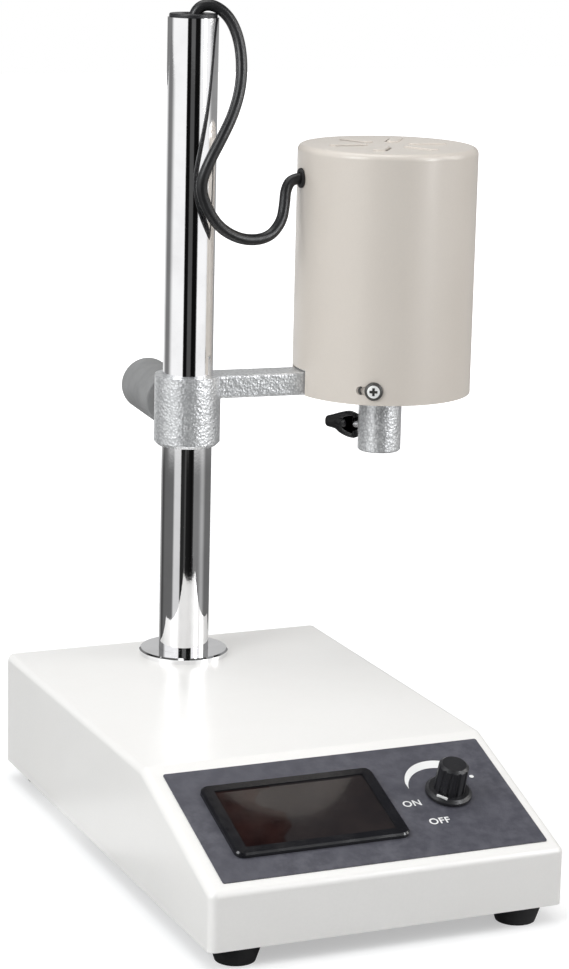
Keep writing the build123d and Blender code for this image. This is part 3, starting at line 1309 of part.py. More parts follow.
with BuildPart() as motor_cord:
    with BuildLine() as cord_line:
        FilletPolyline(*cord_points, radius=cord_radii)
    with BuildSketch(Plane(origin=cord_points[0], z_dir=cord_points[1] - cord_points[0])):
        Circle(CORD_R)
    sweep()
save(motor_cord, "motor_cord")
cord_length = cord_line.wires()[0].length
print("cord radii", [round(radius, 1) for radius in cord_radii])
print("cord length", round(cord_length, 1), "volume", round(motor_cord.part.volume, 1))
print("section times length", round(math.pi * CORD_R**2 * cord_length, 1))
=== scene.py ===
"""Looks of the rotor stator homogenizer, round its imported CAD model. Lengths are in metres."""

import json
import math

import bpy
from mathutils import Matrix, Vector


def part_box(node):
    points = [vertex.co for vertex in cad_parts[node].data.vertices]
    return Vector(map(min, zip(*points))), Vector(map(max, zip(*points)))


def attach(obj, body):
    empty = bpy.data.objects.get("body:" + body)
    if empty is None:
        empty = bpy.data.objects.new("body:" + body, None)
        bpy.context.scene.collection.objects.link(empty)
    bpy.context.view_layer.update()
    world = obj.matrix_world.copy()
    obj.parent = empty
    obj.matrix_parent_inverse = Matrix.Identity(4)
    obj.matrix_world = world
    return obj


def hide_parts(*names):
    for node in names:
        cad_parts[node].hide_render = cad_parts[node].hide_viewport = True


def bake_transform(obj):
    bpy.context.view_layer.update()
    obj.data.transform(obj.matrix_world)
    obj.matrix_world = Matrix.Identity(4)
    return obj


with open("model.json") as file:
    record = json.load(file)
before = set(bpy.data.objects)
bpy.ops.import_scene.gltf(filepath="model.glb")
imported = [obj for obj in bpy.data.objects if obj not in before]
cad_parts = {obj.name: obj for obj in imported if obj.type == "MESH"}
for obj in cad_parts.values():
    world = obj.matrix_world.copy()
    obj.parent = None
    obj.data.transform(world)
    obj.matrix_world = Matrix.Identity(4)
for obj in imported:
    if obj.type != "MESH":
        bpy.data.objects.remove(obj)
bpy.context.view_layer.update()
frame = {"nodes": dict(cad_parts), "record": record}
NODES = frame["nodes"]
JOINTS = {joint["name"]: joint for joint in frame["record"]["behaviour"]["joints"]}
MM = 0.001


# ---------------------------------------------------------------- places, read from the frame
def box_centre(node):
    """The middle of a CAD node's box."""
    low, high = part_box(node)
    return (Vector(low) + Vector(high)) / 2


def frame_matrix(origin, x_dir, z_dir):
    """A right-handed frame with its origin, X and Z directions given in the row frame."""
    x = Vector(x_dir).normalized()
    z = Vector(z_dir).normalized()
    y = z.cross(x)
    return Matrix(
        (
            (x[0], y[0], z[0], origin[0]),
            (x[1], y[1], z[1], origin[1]),
            (x[2], y[2], z[2], origin[2]),
            (0, 0, 0, 1),
        )
    )


COLUMN_AXIS = box_centre("column_tube")
MOTOR_AXIS = box_centre("motor_shaft")
ARM_DIR = Vector((MOTOR_AXIS.x - COLUMN_AXIS.x, MOTOR_AXIS.y - COLUMN_AXIS.y, 0)).normalized()
ARM = frame_matrix((COLUMN_AXIS.x, COLUMN_AXIS.y, 0), ARM_DIR, (0, 0, 1))
MOTOR = frame_matrix((MOTOR_AXIS.x, MOTOR_AXIS.y, 0), ARM_DIR, (0, 0, 1))
KNOB_PLACE = Vector(JOINTS["speed_knob_turn"]["pos_m"])
PANEL_NORMAL = Vector(JOINTS["speed_knob_turn"]["axis"])
KNOB_PANEL = frame_matrix(KNOB_PLACE, (1, 0, 0), PANEL_NORMAL)
LABEL_TOP = 0.5 * MM  # the label's thickness, on the panel


# ---------------------------------------------------------------- camera
BASE_CENTRE = box_centre("bottom_plate")
CAMERA_FOCAL_PX = 2882.4
PHOTO_LONG_SIDE_PX = 969
CAMERA_AZIMUTH = math.radians(-23.673)
CAMERA_PITCH = math.radians(12.950)
CAMERA_ROLL = math.radians(1.361)
CAMERA_DISTANCE = 1.341729
CAMERA_SIDE = 0.005008
CAMERA_HEIGHT = 0.177003


def add_camera():
    """The photograph's view: a long lens, a little above the motor and left of the panel."""
    a, e, r = CAMERA_AZIMUTH, CAMERA_PITCH, CAMERA_ROLL
    back = Vector((math.sin(a) * math.cos(e), -math.cos(a) * math.cos(e), math.sin(e)))
    level = (-back).cross(Vector((0, 0, 1))).normalized()
    upright = level.cross(-back)
    right = level * math.cos(r) + upright * math.sin(r)
    up = -level * math.sin(r) + upright * math.cos(r)
    target = Vector((BASE_CENTRE.x, BASE_CENTRE.y, 0)) + Vector(
        (CAMERA_SIDE * math.cos(a), CAMERA_SIDE * math.sin(a), CAMERA_HEIGHT)
    )
    place = target + back * CAMERA_DISTANCE
    data = bpy.data.cameras.new("camera")
    data.sensor_width = 36.0
    data.lens = CAMERA_FOCAL_PX / PHOTO_LONG_SIDE_PX * data.sensor_width
    data.clip_start = 0.05
    data.clip_end = 30.0
    camera = bpy.data.objects.new("camera", data)
    camera.matrix_world = Matrix(
        (
            (right[0], up[0], back[0], place[0]),
            (right[1], up[1], back[1], place[1]),
            (right[2], up[2], back[2], place[2]),
            (0, 0, 0, 1),
        )
    )
    bpy.context.scene.collection.objects.link(camera)
    bpy.context.scene.camera = camera


add_camera()


# ---------------------------------------------------------------- mesh helpers
def new_object(name, mesh, body, material=None, smooth=True):
    """Links a mesh as a piece that rides on a body."""
    piece = bpy.data.objects.new(name, mesh)
    bpy.context.scene.collection.objects.link(piece)
    if material is not None:
        mesh.materials.clear()
        mesh.materials.append(material)
    if smooth:
        mesh.shade_smooth()
    if body:
        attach(piece, body)
    return piece


def mesh_from(name, verts, faces, matrix=None):
    """A mesh from points and faces, placed by a matrix."""
    mesh = bpy.data.meshes.new(name)
    mesh.from_pydata([tuple(v) for v in verts], [], faces)
    if matrix is not None:
        mesh.transform(matrix)
    mesh.validate()
    mesh.update()
    return mesh


def tube_along(name, path, radius, sides=20):
    """A closed round tube that follows a list of points, with rings square to its line."""
    points = [Vector(p) for p in path]
    tangents = []
    for i in range(len(points)):
        before = points[max(i - 1, 0)]
        after = points[min(i + 1, len(points) - 1)]
        tangents.append((after - before).normalized())
    side = tangents[0].orthogonal().normalized()
    verts = []
    for i, (point, tangent) in enumerate(zip(points, tangents)):
        if i:
            turn = tangents[i - 1].rotation_difference(tangent)
            side = turn @ side
        side = (side - tangent * side.dot(tangent)).normalized()
        other = tangent.cross(side)
        for k in range(sides):
            angle = 2 * math.pi * k / sides
            verts.append(point + (side * math.cos(angle) + other * math.sin(angle)) * radius)
    faces = []
    for i in range(len(points) - 1):
        for k in range(sides):
            a = i * sides + k
            b = i * sides + (k + 1) % sides
            faces.append((a, b, b + sides, a + sides))
    faces.append(tuple(range(sides - 1, -1, -1)))
    last = (len(points) - 1) * sides
    faces.append(tuple(range(last, last + sides)))
    return mesh_from(name, verts, faces)


def reshaped(node, name, body, material, move):
    """A copy of a CAD node's mesh with its points moved by a rule, which stands for the node."""
    mesh = NODES[node].data.copy()
    for vertex in mesh.vertices:
        vertex.co = move(vertex.co)
    piece = new_object(name, mesh, body, material, smooth=False)
    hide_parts(node)
    return piece


def rounded(outline, rounds=2):
    """A closed outline with each corner cut twice, which leaves it smooth."""
    points = [Vector(p) for p in outline]
    for _ in range(rounds):
        pairs = zip(points, points[1:] + points[:1])
        points = [p for a, b in pairs for p in (a.lerp(b, 0.25), a.lerp(b, 0.75))]
    return points


def spun(profile, sides, first=0):
    """Points and faces of a closed solid turned about Z from (radius, height) pairs."""
    verts = [
        (r * math.cos(math.tau * k / sides), r * math.sin(math.tau * k / sides), h)
        for r, h in profile
        for k in range(sides)
    ]
    faces = []
    for i in range(len(profile) - 1):
        for k in range(sides):
            a, b = i * sides + k, i * sides + (k + 1) % sides
            faces.append((first + a, first + b, first + b + sides, first + a + sides))
    last = (len(profile) - 1) * sides
    faces.append(tuple(first + k for k in range(sides - 1, -1, -1)))
    faces.append(tuple(first + last + k for k in range(sides)))
    return verts, faces


# ---------------------------------------------------------------- the motor's cord
CORD_DIAMETER = 0.0056
# in the column's own frame, whose X runs along the arm
CORD_ROUTE = [
    (0.0592, 0.0, 0.3056),
    (0.0524, 0.0, 0.3056),
    (0.0484, -0.0023, 0.3004),
    (0.0470, -0.0054, 0.2936),
    (0.0446, -0.0084, 0.2850),
    (0.0370, -0.0110, 0.2775),
    (0.0236, -0.0135, 0.2770),
    (0.0110, -0.0160, 0.2830),
    (0.0030, -0.0185, 0.2930),
    (-0.0020, -0.0210, 0.3050),
    (0.0025, -0.0215, 0.3170),
    (0.0090, -0.0210, 0.3285),
    (0.0155, -0.0185, 0.3400),
    (0.0200, -0.0150, 0.3525),
    (0.0215, -0.0110, 0.3650),
    (0.0205, -0.0075, 0.3760),
    (0.0168, -0.0046, 0.3850),
    (0.0103, -0.0020, 0.3904),
    (0.0038, -0.0006, 0.3904),
    (0.0, 0.0, 0.3856),
    (0.0, 0.0, 0.3810),
]


def spline_points(route, steps=10):
    """The line of one NURBS spline whose control points are the route's, read back as a mesh."""
    curve = bpy.data.curves.new("cord_line", "CURVE")
    curve.dimensions = "3D"
    curve.resolution_u = steps
    spline = curve.splines.new("NURBS")
    spline.points.add(len(route) - 1)
    for point, place in zip(spline.points, route):
        point.co = (*place, 1)
    spline.order_u = 3
    spline.use_endpoint_u = True
    carrier = bpy.data.objects.new("cord_line", curve)
    bpy.context.scene.collection.objects.link(carrier)
    line = bpy.data.meshes.new_from_object(carrier)
    points = [v.co.copy() for v in line.vertices]
    bpy.data.objects.remove(carrier)
    bpy.data.curves.remove(curve)
    bpy.data.meshes.remove(line)
    return points


cord_route = [ARM @ Vector(point) for point in CORD_ROUTE]
cord_line = spline_points(cord_route)


# ---------------------------------------------------------------- materials
class Shader:
    """A node material with one Principled shader, and short calls for the nodes it is fed by."""

    def __init__(self, name):
        self.material = bpy.data.materials.new(name)
        self.material.use_nodes = True
        self.tree = self.material.node_tree
        self.nodes = self.tree.nodes
        self.bsdf = self.nodes["Principled BSDF"]
        self.place = self.nodes.new("ShaderNodeTexCoord").outputs["Object"]

    def link(self, source, target):
        """Feeds one socket from another."""
        self.tree.links.new(source, target)

    def scaled(self, stretch):
        """Object coordinates stretched differently along X, Y and Z."""
        mapping = self.nodes.new("ShaderNodeMapping")
        mapping.inputs["Scale"].default_value = stretch
        self.link(self.place, mapping.inputs["Vector"])
        return mapping.outputs["Vector"]

    def noise(self, per_metre, detail=3.0, roughness=0.55, stretch=None, distortion=0.0):
        """Cloudy noise of so many lumps a metre."""
        node = self.nodes.new("ShaderNodeTexNoise")
        node.inputs["Scale"].default_value = per_metre
        node.inputs["Detail"].default_value = detail
        node.inputs["Roughness"].default_value = roughness
        node.inputs["Distortion"].default_value = distortion
        self.link(self.scaled(stretch) if stretch else self.place, node.inputs["Vector"])
        return node.outputs["Fac"]

    def cells(self, per_metre, smoothness=0.4):
        """Rounded cells of so many a metre."""
        node = self.nodes.new("ShaderNodeTexVoronoi")
        node.feature = "SMOOTH_F1"
        node.inputs["Scale"].default_value = per_metre
        node.inputs["Smoothness"].default_value = smoothness
        self.link(self.place, node.inputs["Vector"])
        return node.outputs["Distance"]

    def mapped(self, source, low, high, to_low, to_high):
        """A value taken smoothly from one range to another."""
        node = self.nodes.new("ShaderNodeMapRange")
        node.interpolation_type = "SMOOTHSTEP"
        node.inputs["From Min"].default_value = low
        node.inputs["From Max"].default_value = high
        node.inputs["To Min"].default_value = to_low
        node.inputs["To Max"].default_value = to_high
        self.link(source, node.inputs["Value"])
        return node.outputs["Result"]

    def mixed(self, factor, first, second):
        """Two colours, or sockets that give them, mixed by a factor."""
        node = self.nodes.new("ShaderNodeMix")
        node.data_type = "RGBA"
        self.link(factor, node.inputs["Factor"])
        # a mix node keeps its colours in sockets 6 and 7, and gives the mixed one in socket 2
        for socket, value in ((node.inputs[6], first), (node.inputs[7], second)):
            if isinstance(value, bpy.types.NodeSocket):
                self.link(value, socket)
            else:
                socket.default_value = (*value, 1)
        return node.outputs[2]

    def bump(self, height, strength, distance, before=None):
        """A bumped normal, on top of another one if given."""
        node = self.nodes.new("ShaderNodeBump")
        node.inputs["Strength"].default_value = strength
        node.inputs["Distance"].default_value = distance
        self.link(height, node.inputs["Height"])
        if before is not None:
            self.link(before, node.inputs["Normal"])
        return node.outputs["Normal"]

    def set(self, **values):
        """Sets or feeds the Principled shader's sockets, and gives the finished material."""
        for name, value in values.items():
            socket = self.bsdf.inputs[name.replace("_", " ")]
            if isinstance(value, bpy.types.NodeSocket):
                self.link(value, socket)
            elif socket.type == "RGBA":
                socket.default_value = (*value, 1)
            else:
                socket.default_value = value
        return self.material


def painted(name, color, fleck, roughness=0.36, peel_depth=0.10):
    """Stove paint: faint orange peel, cloudy gloss and a few rubbed patches."""
    s = Shader(name)
    cloud = s.mapped(s.noise(14, detail=4), 0.35, 0.75, 0.0, 1.0)
    grain = s.mapped(s.noise(900, detail=2), 0.3, 0.7, 0.0, 0.5)
    base = s.mixed(cloud, color, fleck)
    base = s.mixed(grain, base, tuple(0.97 * c for c in color))
    peel = s.bump(s.noise(420, detail=2), peel_depth, 0.0003)
    fine = s.bump(s.noise(1500, detail=1), 0.05, 0.0002, before=peel)
    return s.set(
        Base_Color=base,
        Roughness=s.mapped(s.noise(30, detail=5), 0.3, 0.75, roughness - 0.05, roughness + 0.09),
        Normal=fine,
        Coat_Weight=0.25,
        Coat_Roughness=0.22,
    )


def cast_metal(name, color, dark, cell_scale=760, depth=0.0005):
    """Cast aluminium under silver hammer paint: small shallow dimples with dull hollows."""
    s = Shader(name)
    cell = s.cells(cell_scale)
    sand = s.noise(1500, detail=4, roughness=0.7)
    patch = s.noise(75, detail=4, distortion=0.8)
    base = s.mixed(s.mapped(cell, 0.25, 0.70, 0.0, 0.85), color, dark)
    base = s.mixed(s.mapped(patch, 0.40, 0.68, 0.0, 0.55), base, tuple(0.80 * c for c in color))
    dimple = s.bump(cell, 0.36, depth)
    swell = s.bump(s.noise(230, detail=3), 0.26, 0.0009, before=dimple)
    return s.set(
        Base_Color=base,
        Metallic=0.74,
        Roughness=s.mapped(sand, 0.3, 0.7, 0.30, 0.46),
        Normal=s.bump(sand, 0.25, 0.0002, before=swell),
    )


def metal(name, color, roughness, metallic=1.0, brush=None, streak=0.04):
    """Machined or plated metal with fine handling marks, brushed along one direction if asked."""
    s = Shader(name)
    stretch = brush if brush else (1, 1, 1)
    lines = s.noise(700, detail=4, stretch=stretch)
    smear = s.noise(45, detail=5)
    base = s.mixed(s.mapped(smear, 0.35, 0.75, 0.0, 1.0), color, tuple(0.9 * c for c in color))
    return s.set(
        Base_Color=base,
        Metallic=metallic,
        Roughness=s.mapped(smear, 0.3, 0.75, max(roughness - streak, 0.02), roughness + streak),
        Normal=s.bump(lines, 0.06, 0.0001),
    )


def plastic(name, color, roughness, grain=900, grain_depth=0.12, fleck=1.25):
    """Moulded plastic or rubber with a fine spark-eroded grain and slightly uneven gloss."""
    s = Shader(name)
    cloud = s.noise(55, detail=4)
    base = s.mixed(
        s.mapped(cloud, 0.35, 0.7, 0.0, 1.0), color, tuple(min(1.0, fleck * c) for c in color)
    )
    return s.set(
        Base_Color=base,
        Roughness=s.mapped(s.noise(120, detail=4), 0.3, 0.7, roughness - 0.05, roughness + 0.07),
        Normal=s.bump(s.noise(grain, detail=3), grain_depth, 0.0003),
        Specular_IOR_Level=0.5,
    )


def laminated(name, color, dark):
    """A stack of punched steel sheets, seen on edge as fine lines across its height."""
    s = Shader(name)
    sheets = s.noise(1, detail=1, stretch=(40, 40, 2000))
    base = s.mixed(s.mapped(sheets, 0.4, 0.6, 0.0, 1.0), color, dark)
    return s.set(Base_Color=base, Metallic=0.7, Roughness=0.5, Normal=s.bump(sheets, 0.4, 0.0003))


def wound(name, color, dark):
    """Enamelled wire in close turns."""
    s = Shader(name)
    turns = s.noise(1, detail=1, stretch=(300, 300, 1600))
    base = s.mixed(s.mapped(turns, 0.35, 0.65, 0.0, 1.0), color, dark)
    return s.set(
        Base_Color=base,
        Metallic=0.35,
        Roughness=0.32,
        Normal=s.bump(turns, 0.6, 0.0004),
        Coat_Weight=0.5,
    )


def printed_label():
    """Dark blue-grey printed film with faint mottling under a satin laminate."""
    s = Shader("label_print")
    mottle = s.noise(160, detail=6, roughness=0.7)
    wide = s.noise(22, detail=3)
    base = s.mixed(
        s.mapped(mottle, 0.35, 0.68, 0.0, 1.0), (0.060, 0.060, 0.076), (0.100, 0.100, 0.120)
    )
    base = s.mixed(s.mapped(wide, 0.35, 0.7, 0.0, 0.5), base, (0.068, 0.068, 0.086))
    return s.set(
        Base_Color=base,
        Roughness=s.mapped(mottle, 0.3, 0.7, 0.40, 0.52),
        Normal=s.bump(s.noise(1100, detail=3), 0.12, 0.0002),
    )


REFLECTION_REACH = 0.26  # share of the pane's width that the brown patch, a painted reflection, takes
REFLECTION_RAGGED = 0.050
REFLECTION_SOFT = 0.0015


def smoked_window():
    """Smoked acrylic: a dark brown pane, with a ragged red-brown painted reflection over its left
    end.
    """
    s = Shader("window_smoke")
    low, high = (Vector(corner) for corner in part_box("display_window"))
    apart = s.nodes.new("ShaderNodeSeparateXYZ")
    s.link(s.place, apart.inputs["Vector"])
    drift = s.noise(60, detail=3, roughness=0.5, distortion=0.6)
    ragged = s.nodes.new("ShaderNodeMath")
    ragged.operation = "MULTIPLY_ADD"
    ragged.inputs[1].default_value = REFLECTION_RAGGED
    s.link(drift, ragged.inputs[0])
    s.link(apart.outputs["X"], ragged.inputs[2])
    edge = low.x + REFLECTION_REACH * (high.x - low.x) + 0.5 * REFLECTION_RAGGED
    # the mask of the painted reflection: 1 over the pane's left end, with a ragged edge
    patch = s.mapped(ragged.outputs["Value"], edge - REFLECTION_SOFT, edge + REFLECTION_SOFT, 1.0, 0.0)
    cloud = s.mapped(s.noise(90, detail=4), 0.3, 0.7, 0.0, 1.0)
    base = s.mixed(cloud, (0.019, 0.016, 0.017), (0.026, 0.021, 0.021))
    # the painted reflection's colour, darker and redder than the smoke
    brown = s.mixed(cloud, (0.010, 0.004, 0.004), (0.020, 0.008, 0.007))
    return s.set(
        Base_Color=s.mixed(patch, base, brown),
        Roughness=s.mapped(s.noise(70, detail=4), 0.3, 0.7, 0.05, 0.12),
        Normal=s.bump(s.noise(240, detail=2), 0.03, 0.0002),
        Coat_Weight=0.5,
        Coat_Roughness=0.04,
    )


BASE_PAINT = painted("base_paint_look", (0.86, 0.846, 0.824), (0.845, 0.829, 0.803), 0.34)
COVER_PAINT = painted(
    "cover_paint_look", (0.655, 0.602, 0.543), (0.650, 0.595, 0.534), 0.33, peel_depth=0.02
)
CAST = cast_metal("cast_look", (0.90, 0.91, 0.92), (0.62, 0.63, 0.64))
CHROME = metal("chrome_look", (0.93, 0.93, 0.94), 0.045, streak=0.02)
ZINC = metal("zinc_look", (0.62, 0.62, 0.60), 0.32)
STEEL = metal("steel_look", (0.55, 0.55, 0.56), 0.24, brush=(1, 1, 12))
BRASS = metal("brass_look", (0.62, 0.46, 0.20), 0.28)
COPPER = metal("copper_look", (0.66, 0.32, 0.17), 0.25, brush=(1, 1, 12))
LAMINATED = laminated("lamination_look", (0.13, 0.13, 0.14), (0.05, 0.05, 0.055))
WINDING = wound("winding_look", (0.33, 0.10, 0.03), (0.15, 0.035, 0.012))
RUBBER = plastic("rubber_look", (0.014, 0.014, 0.015), 0.62, grain=1300, grain_depth=0.25)
CORD_SKIN = plastic("cord_look", (0.012, 0.012, 0.013), 0.34, grain=1600, grain_depth=0.06)
BLACK_GLOSS = plastic("bezel_look", (0.010, 0.010, 0.012), 0.16, grain=500, grain_depth=0.03)
BLACK_MATTE = plastic("black_plastic_look", (0.014, 0.014, 0.016), 0.36)
GREY_PLASTIC = plastic("grey_plastic_look", (0.22, 0.22, 0.22), 0.55, grain=700, grain_depth=0.3)
BOARD = plastic("board_look", (0.02, 0.11, 0.045), 0.42, grain=2500, grain_depth=0.1)
GREEN = plastic("terminal_look", (0.03, 0.16, 0.05), 0.40)
SLEEVE = plastic("capacitor_look", (0.02, 0.022, 0.06), 0.22)
SINK = metal("sink_look", (0.06, 0.06, 0.06), 0.42)
CARBON = plastic("carbon_look", (0.02, 0.02, 0.022), 0.5)
DIGIT = plastic("digit_look", (0.10, 0.08, 0.075), 0.25)
LABEL = printed_label()
WINDOW = smoked_window()
SCREW_FACE = metal("screw_face_look", (0.93, 0.93, 0.91), 0.36, metallic=0.20)
# painted shade: the dark rim round each screw head, the walls of its cross recess and the ends of
# the slots
SCREW_SHADE = plastic("screw_painted_shade_look", (0.055, 0.052, 0.048), 0.42, grain=2200)
WING_BLACK = plastic("wing_look", (0.009, 0.009, 0.010), 0.30, grain=1100, grain_depth=0.18)
WHITE_INK = plastic("white_ink_look", (0.80, 0.80, 0.79), 0.45, grain=1500, fleck=0.94)

LOOKS = {
    "base_paint": BASE_PAINT,
    "cover_paint": COVER_PAINT,
    "cast_aluminium": CAST,
    "chrome": CHROME,
    "steel": STEEL,
    "zinc_steel": ZINC,
    "lamination": LAMINATED,
    "winding": WINDING,
    "copper": COPPER,
    "brass": BRASS,
    "black_rubber": RUBBER,
    "black_cord": CORD_SKIN,
    "carbon": CARBON,
    "label": LABEL,
    "black_plastic": BLACK_GLOSS,
    "matte_black_plastic": BLACK_MATTE,
    "grey_plastic": GREY_PLASTIC,
    "smoky_window": WINDOW,
    "digit_face": DIGIT,
    "board": BOARD,
    "green_plastic": GREEN,
    "capacitor": SLEEVE,
    "sink_aluminium": SINK,
}
for subpart in frame["record"]["subparts"]:
    mesh = NODES[subpart["node"]].data
    mesh.materials.clear()
    mesh.materials.append(LOOKS[subpart["material_slot"]])


# ---------------------------------------------------------------- cord piece
cord = new_object(
    "motor_cord_sheath",
    tube_along("motor_cord_sheath", cord_line, CORD_DIAMETER / 2),
    None,
    material=CORD_SKIN,
)
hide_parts("motor_cord")
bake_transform(cord)


# ---------------------------------------------------------------- motor cover
COVER_LOW, COVER_HIGH = (Vector(corner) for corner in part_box("motor_cover"))
COVER_R = (COVER_HIGH.x - COVER_LOW.x) / 2
COVER_SHEET = 1.2 * MM
CAD_EDGE_R = 5.5 * MM  # the pressed edge's radius in the CAD
EDGE_R = 3.2 * MM  # and as it shows
LOUVRE_TOP = max(vertex.co.z for vertex in NODES["motor_cover"].data.vertices)
LOUVRE_RISE = 1.4 * MM  # in the CAD
LOUVRE_SHARE = 0.55  # how much of that rise shows
LOUVRE_STARTS = 0.02 * MM  # above the cover's top
EDGE_STARTS = -0.01 * MM  # beside and above the middle of the edge's round
EDGE_MISS = 0.05 * MM  # how far a point may lie from the CAD's edge and still count as on it
COVER_TOP = LOUVRE_TOP - LOUVRE_RISE


def tighter_edge(place):
    """Moves a point of the cover from the CAD's rounded edge to a tighter one."""
    out = Vector((place.x - MOTOR_AXIS.x, place.y - MOTOR_AXIS.y, 0))
    aside = out.length - (COVER_R - CAD_EDGE_R)
    above = place.z - (COVER_TOP - CAD_EDGE_R)
    if place.z > COVER_TOP + LOUVRE_STARTS:
        return Vector((place.x, place.y, COVER_TOP + LOUVRE_SHARE * (place.z - COVER_TOP)))
    if min(aside, above) < EDGE_STARTS or out.length == 0:
        return place
    for radius in (CAD_EDGE_R, CAD_EDGE_R - COVER_SHEET):
        if abs(math.hypot(aside, above) - radius) < EDGE_MISS:
            share = (EDGE_R - CAD_EDGE_R + radius) / radius
            flat = out.normalized() * (COVER_R - EDGE_R + share * aside)
            height = COVER_TOP - EDGE_R + share * above
            return Vector((MOTOR_AXIS.x + flat.x, MOTOR_AXIS.y + flat.y, height))
    return place


reshaped("motor_cover", "motor_cover_shell", "head", COVER_PAINT, tighter_edge)


# ---------------------------------------------------------------- cover screws
SCREW_COUNT = 3
SCREW_ANGLE = -115.3  # degrees, from the arm's direction
SCREW_HEIGHT = box_centre("cover_screws").z
HEAD_RIM = [(4.50, 0.0), (4.62, 0.30), (4.58, 0.75), (4.30, 1.20), (3.85, 1.48)]  # mm
HEAD_DOME = [(3.20, 1.74), (2.40, 1.90), (1.40, 2.00), (0.50, 2.03)]
HEAD_SIDES = 40
HEAD_EDGE_ANGLE = 35
CROSS_L, CROSS_W, CROSS_DEPTH = 4.0 * MM, 1.3 * MM, 1.1 * MM
SLOT_TURN = 6.8  # degrees from a screw to the free end of its slot
# each slot's free end carries a painted shadow, a dark strip round it
SLOT_R = 2.55 * MM
SLOT_LIP = 0.95 * MM  # how wide the painted shadow at its end shows
SLOT_ENDS = (118, 242)  # degrees round the slot's end
SLOT_STEPS = 14
SLOT_PROUD = 0.05 * MM  # how far the painted shadow stands out of the cover


def on_cover(turn, across, up, out):
    """A point about a screw's place, wrapped round the cover: turn in degrees."""
    angle = math.radians(turn) + across / COVER_R
    reach = COVER_R + out
    place = MOTOR @ Vector((reach * math.cos(angle), reach * math.sin(angle), 0))
    return Vector((place.x, place.y, SCREW_HEIGHT + up))


def box_mesh(name, size):
    """A plain block about the origin, for cutting."""
    x, y, z = (side / 2 for side in size)
    verts = [(a * x, b * y, c * z) for a in (-1, 1) for b in (-1, 1) for c in (-1, 1)]
    faces = [(0, 1, 3, 2), (4, 6, 7, 5), (0, 4, 5, 1), (2, 3, 7, 6), (0, 2, 6, 4), (1, 5, 7, 3)]
    mesh = mesh_from(name, verts, faces)
    # the block's faces take the second slot, so that a cut leaves its walls in painted shade
    for polygon in mesh.polygons:
        polygon.material_index = 1
    return mesh


def cut(target, cutter_mesh, matrix):
    """Takes a cutter's shape out of an object's mesh."""
    cutter = bpy.data.objects.new("cutter", cutter_mesh)
    cutter.matrix_world = matrix
    bpy.context.scene.collection.objects.link(cutter)
    bite = target.modifiers.new("bite", "BOOLEAN")
    bite.operation = "DIFFERENCE"
    bite.object = cutter
    graph = bpy.context.evaluated_depsgraph_get()
    mesh = bpy.data.meshes.new_from_object(target.evaluated_get(graph))
    target.modifiers.clear()
    target.data = mesh
    bpy.data.objects.remove(cutter)


def cover_screw_heads():
    """Domed cross-recess heads: a bright face, with painted shade on the rim round it and in the
    recess.
    """
    verts, faces = spun([(r * MM, h * MM) for r, h in HEAD_RIM + HEAD_DOME], HEAD_SIDES)
    for screw in range(SCREW_COUNT):
        turn = SCREW_ANGLE + 360 * screw / SCREW_COUNT
        foot = on_cover(turn, 0, 0, 0)
        out = (foot - Vector((MOTOR_AXIS.x, MOTOR_AXIS.y, foot.z))).normalized()
        name = f"cover_screw_head_{screw + 1}"
        mesh = mesh_from(name, verts, faces)
        mesh.materials.append(SCREW_FACE)
        mesh.materials.append(SCREW_SHADE)
        for polygon in mesh.polygons:
            middle = polygon.center
            # the rim outside the dome takes painted shadow, for the dark gap round the head
            polygon.material_index = int(middle.xy.length > HEAD_DOME[0][0] * MM)
        piece = new_object(name, mesh, "head")
        for size in ((CROSS_L, CROSS_W, 2 * CROSS_DEPTH), (CROSS_W, CROSS_L, 2 * CROSS_DEPTH)):
            top = Matrix.Translation((0, 0, HEAD_DOME[-1][1] * MM))
            cut(piece, box_mesh("cross_arm", size), top)
        piece.data.transform(frame_matrix(foot, (0, 0, 1), out))
        piece.data.set_sharp_from_angle(angle=math.radians(HEAD_EDGE_ANGLE))
        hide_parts("cover_screws")


def slot_shadows():
    """A dark strip on the cut edge round the free end of each bayonet slot: painted shadow of the
    slot's end wall.
    """
    for screw in range(SCREW_COUNT):
        turn = SCREW_ANGLE + 360 * screw / SCREW_COUNT - SLOT_TURN
        verts, faces = [], []
        for k in range(SLOT_STEPS + 1):
            angle = math.radians(SLOT_ENDS[0] + (SLOT_ENDS[1] - SLOT_ENDS[0]) * k / SLOT_STEPS)
            for radius in (SLOT_R - SLOT_LIP, SLOT_R):
                for out in (-COVER_SHEET, SLOT_PROUD):
                    place = (radius * math.cos(angle), radius * math.sin(angle), out)
                    verts.append(on_cover(turn, *place))
        for k in range(SLOT_STEPS):
            a = 4 * k
            for i, j in ((0, 1), (1, 3), (3, 2), (2, 0)):
                faces.append((a + i, a + j, a + 4 + j, a + 4 + i))
        last = 4 * SLOT_STEPS
        faces += [(0, 2, 3, 1), (last, last + 1, last + 3, last + 2)]
        name = f"slot_shadow_{screw + 1}"
        mesh = mesh_from(name, verts, faces)
        new_object(name, mesh, "head", SCREW_SHADE, smooth=False)


cover_screw_heads()
slot_shadows()


# ---------------------------------------------------------------- tool clamp's wing
WING_AXIS = Vector(JOINTS["tool_clamp_turn"]["axis"])
WING_PLACE = Vector((MOTOR_AXIS.x, MOTOR_AXIS.y, JOINTS["tool_clamp_turn"]["pos_m"][2]))
WING = frame_matrix(WING_PLACE, WING_AXIS, WING_AXIS.cross(Vector((0, 0, 1))))
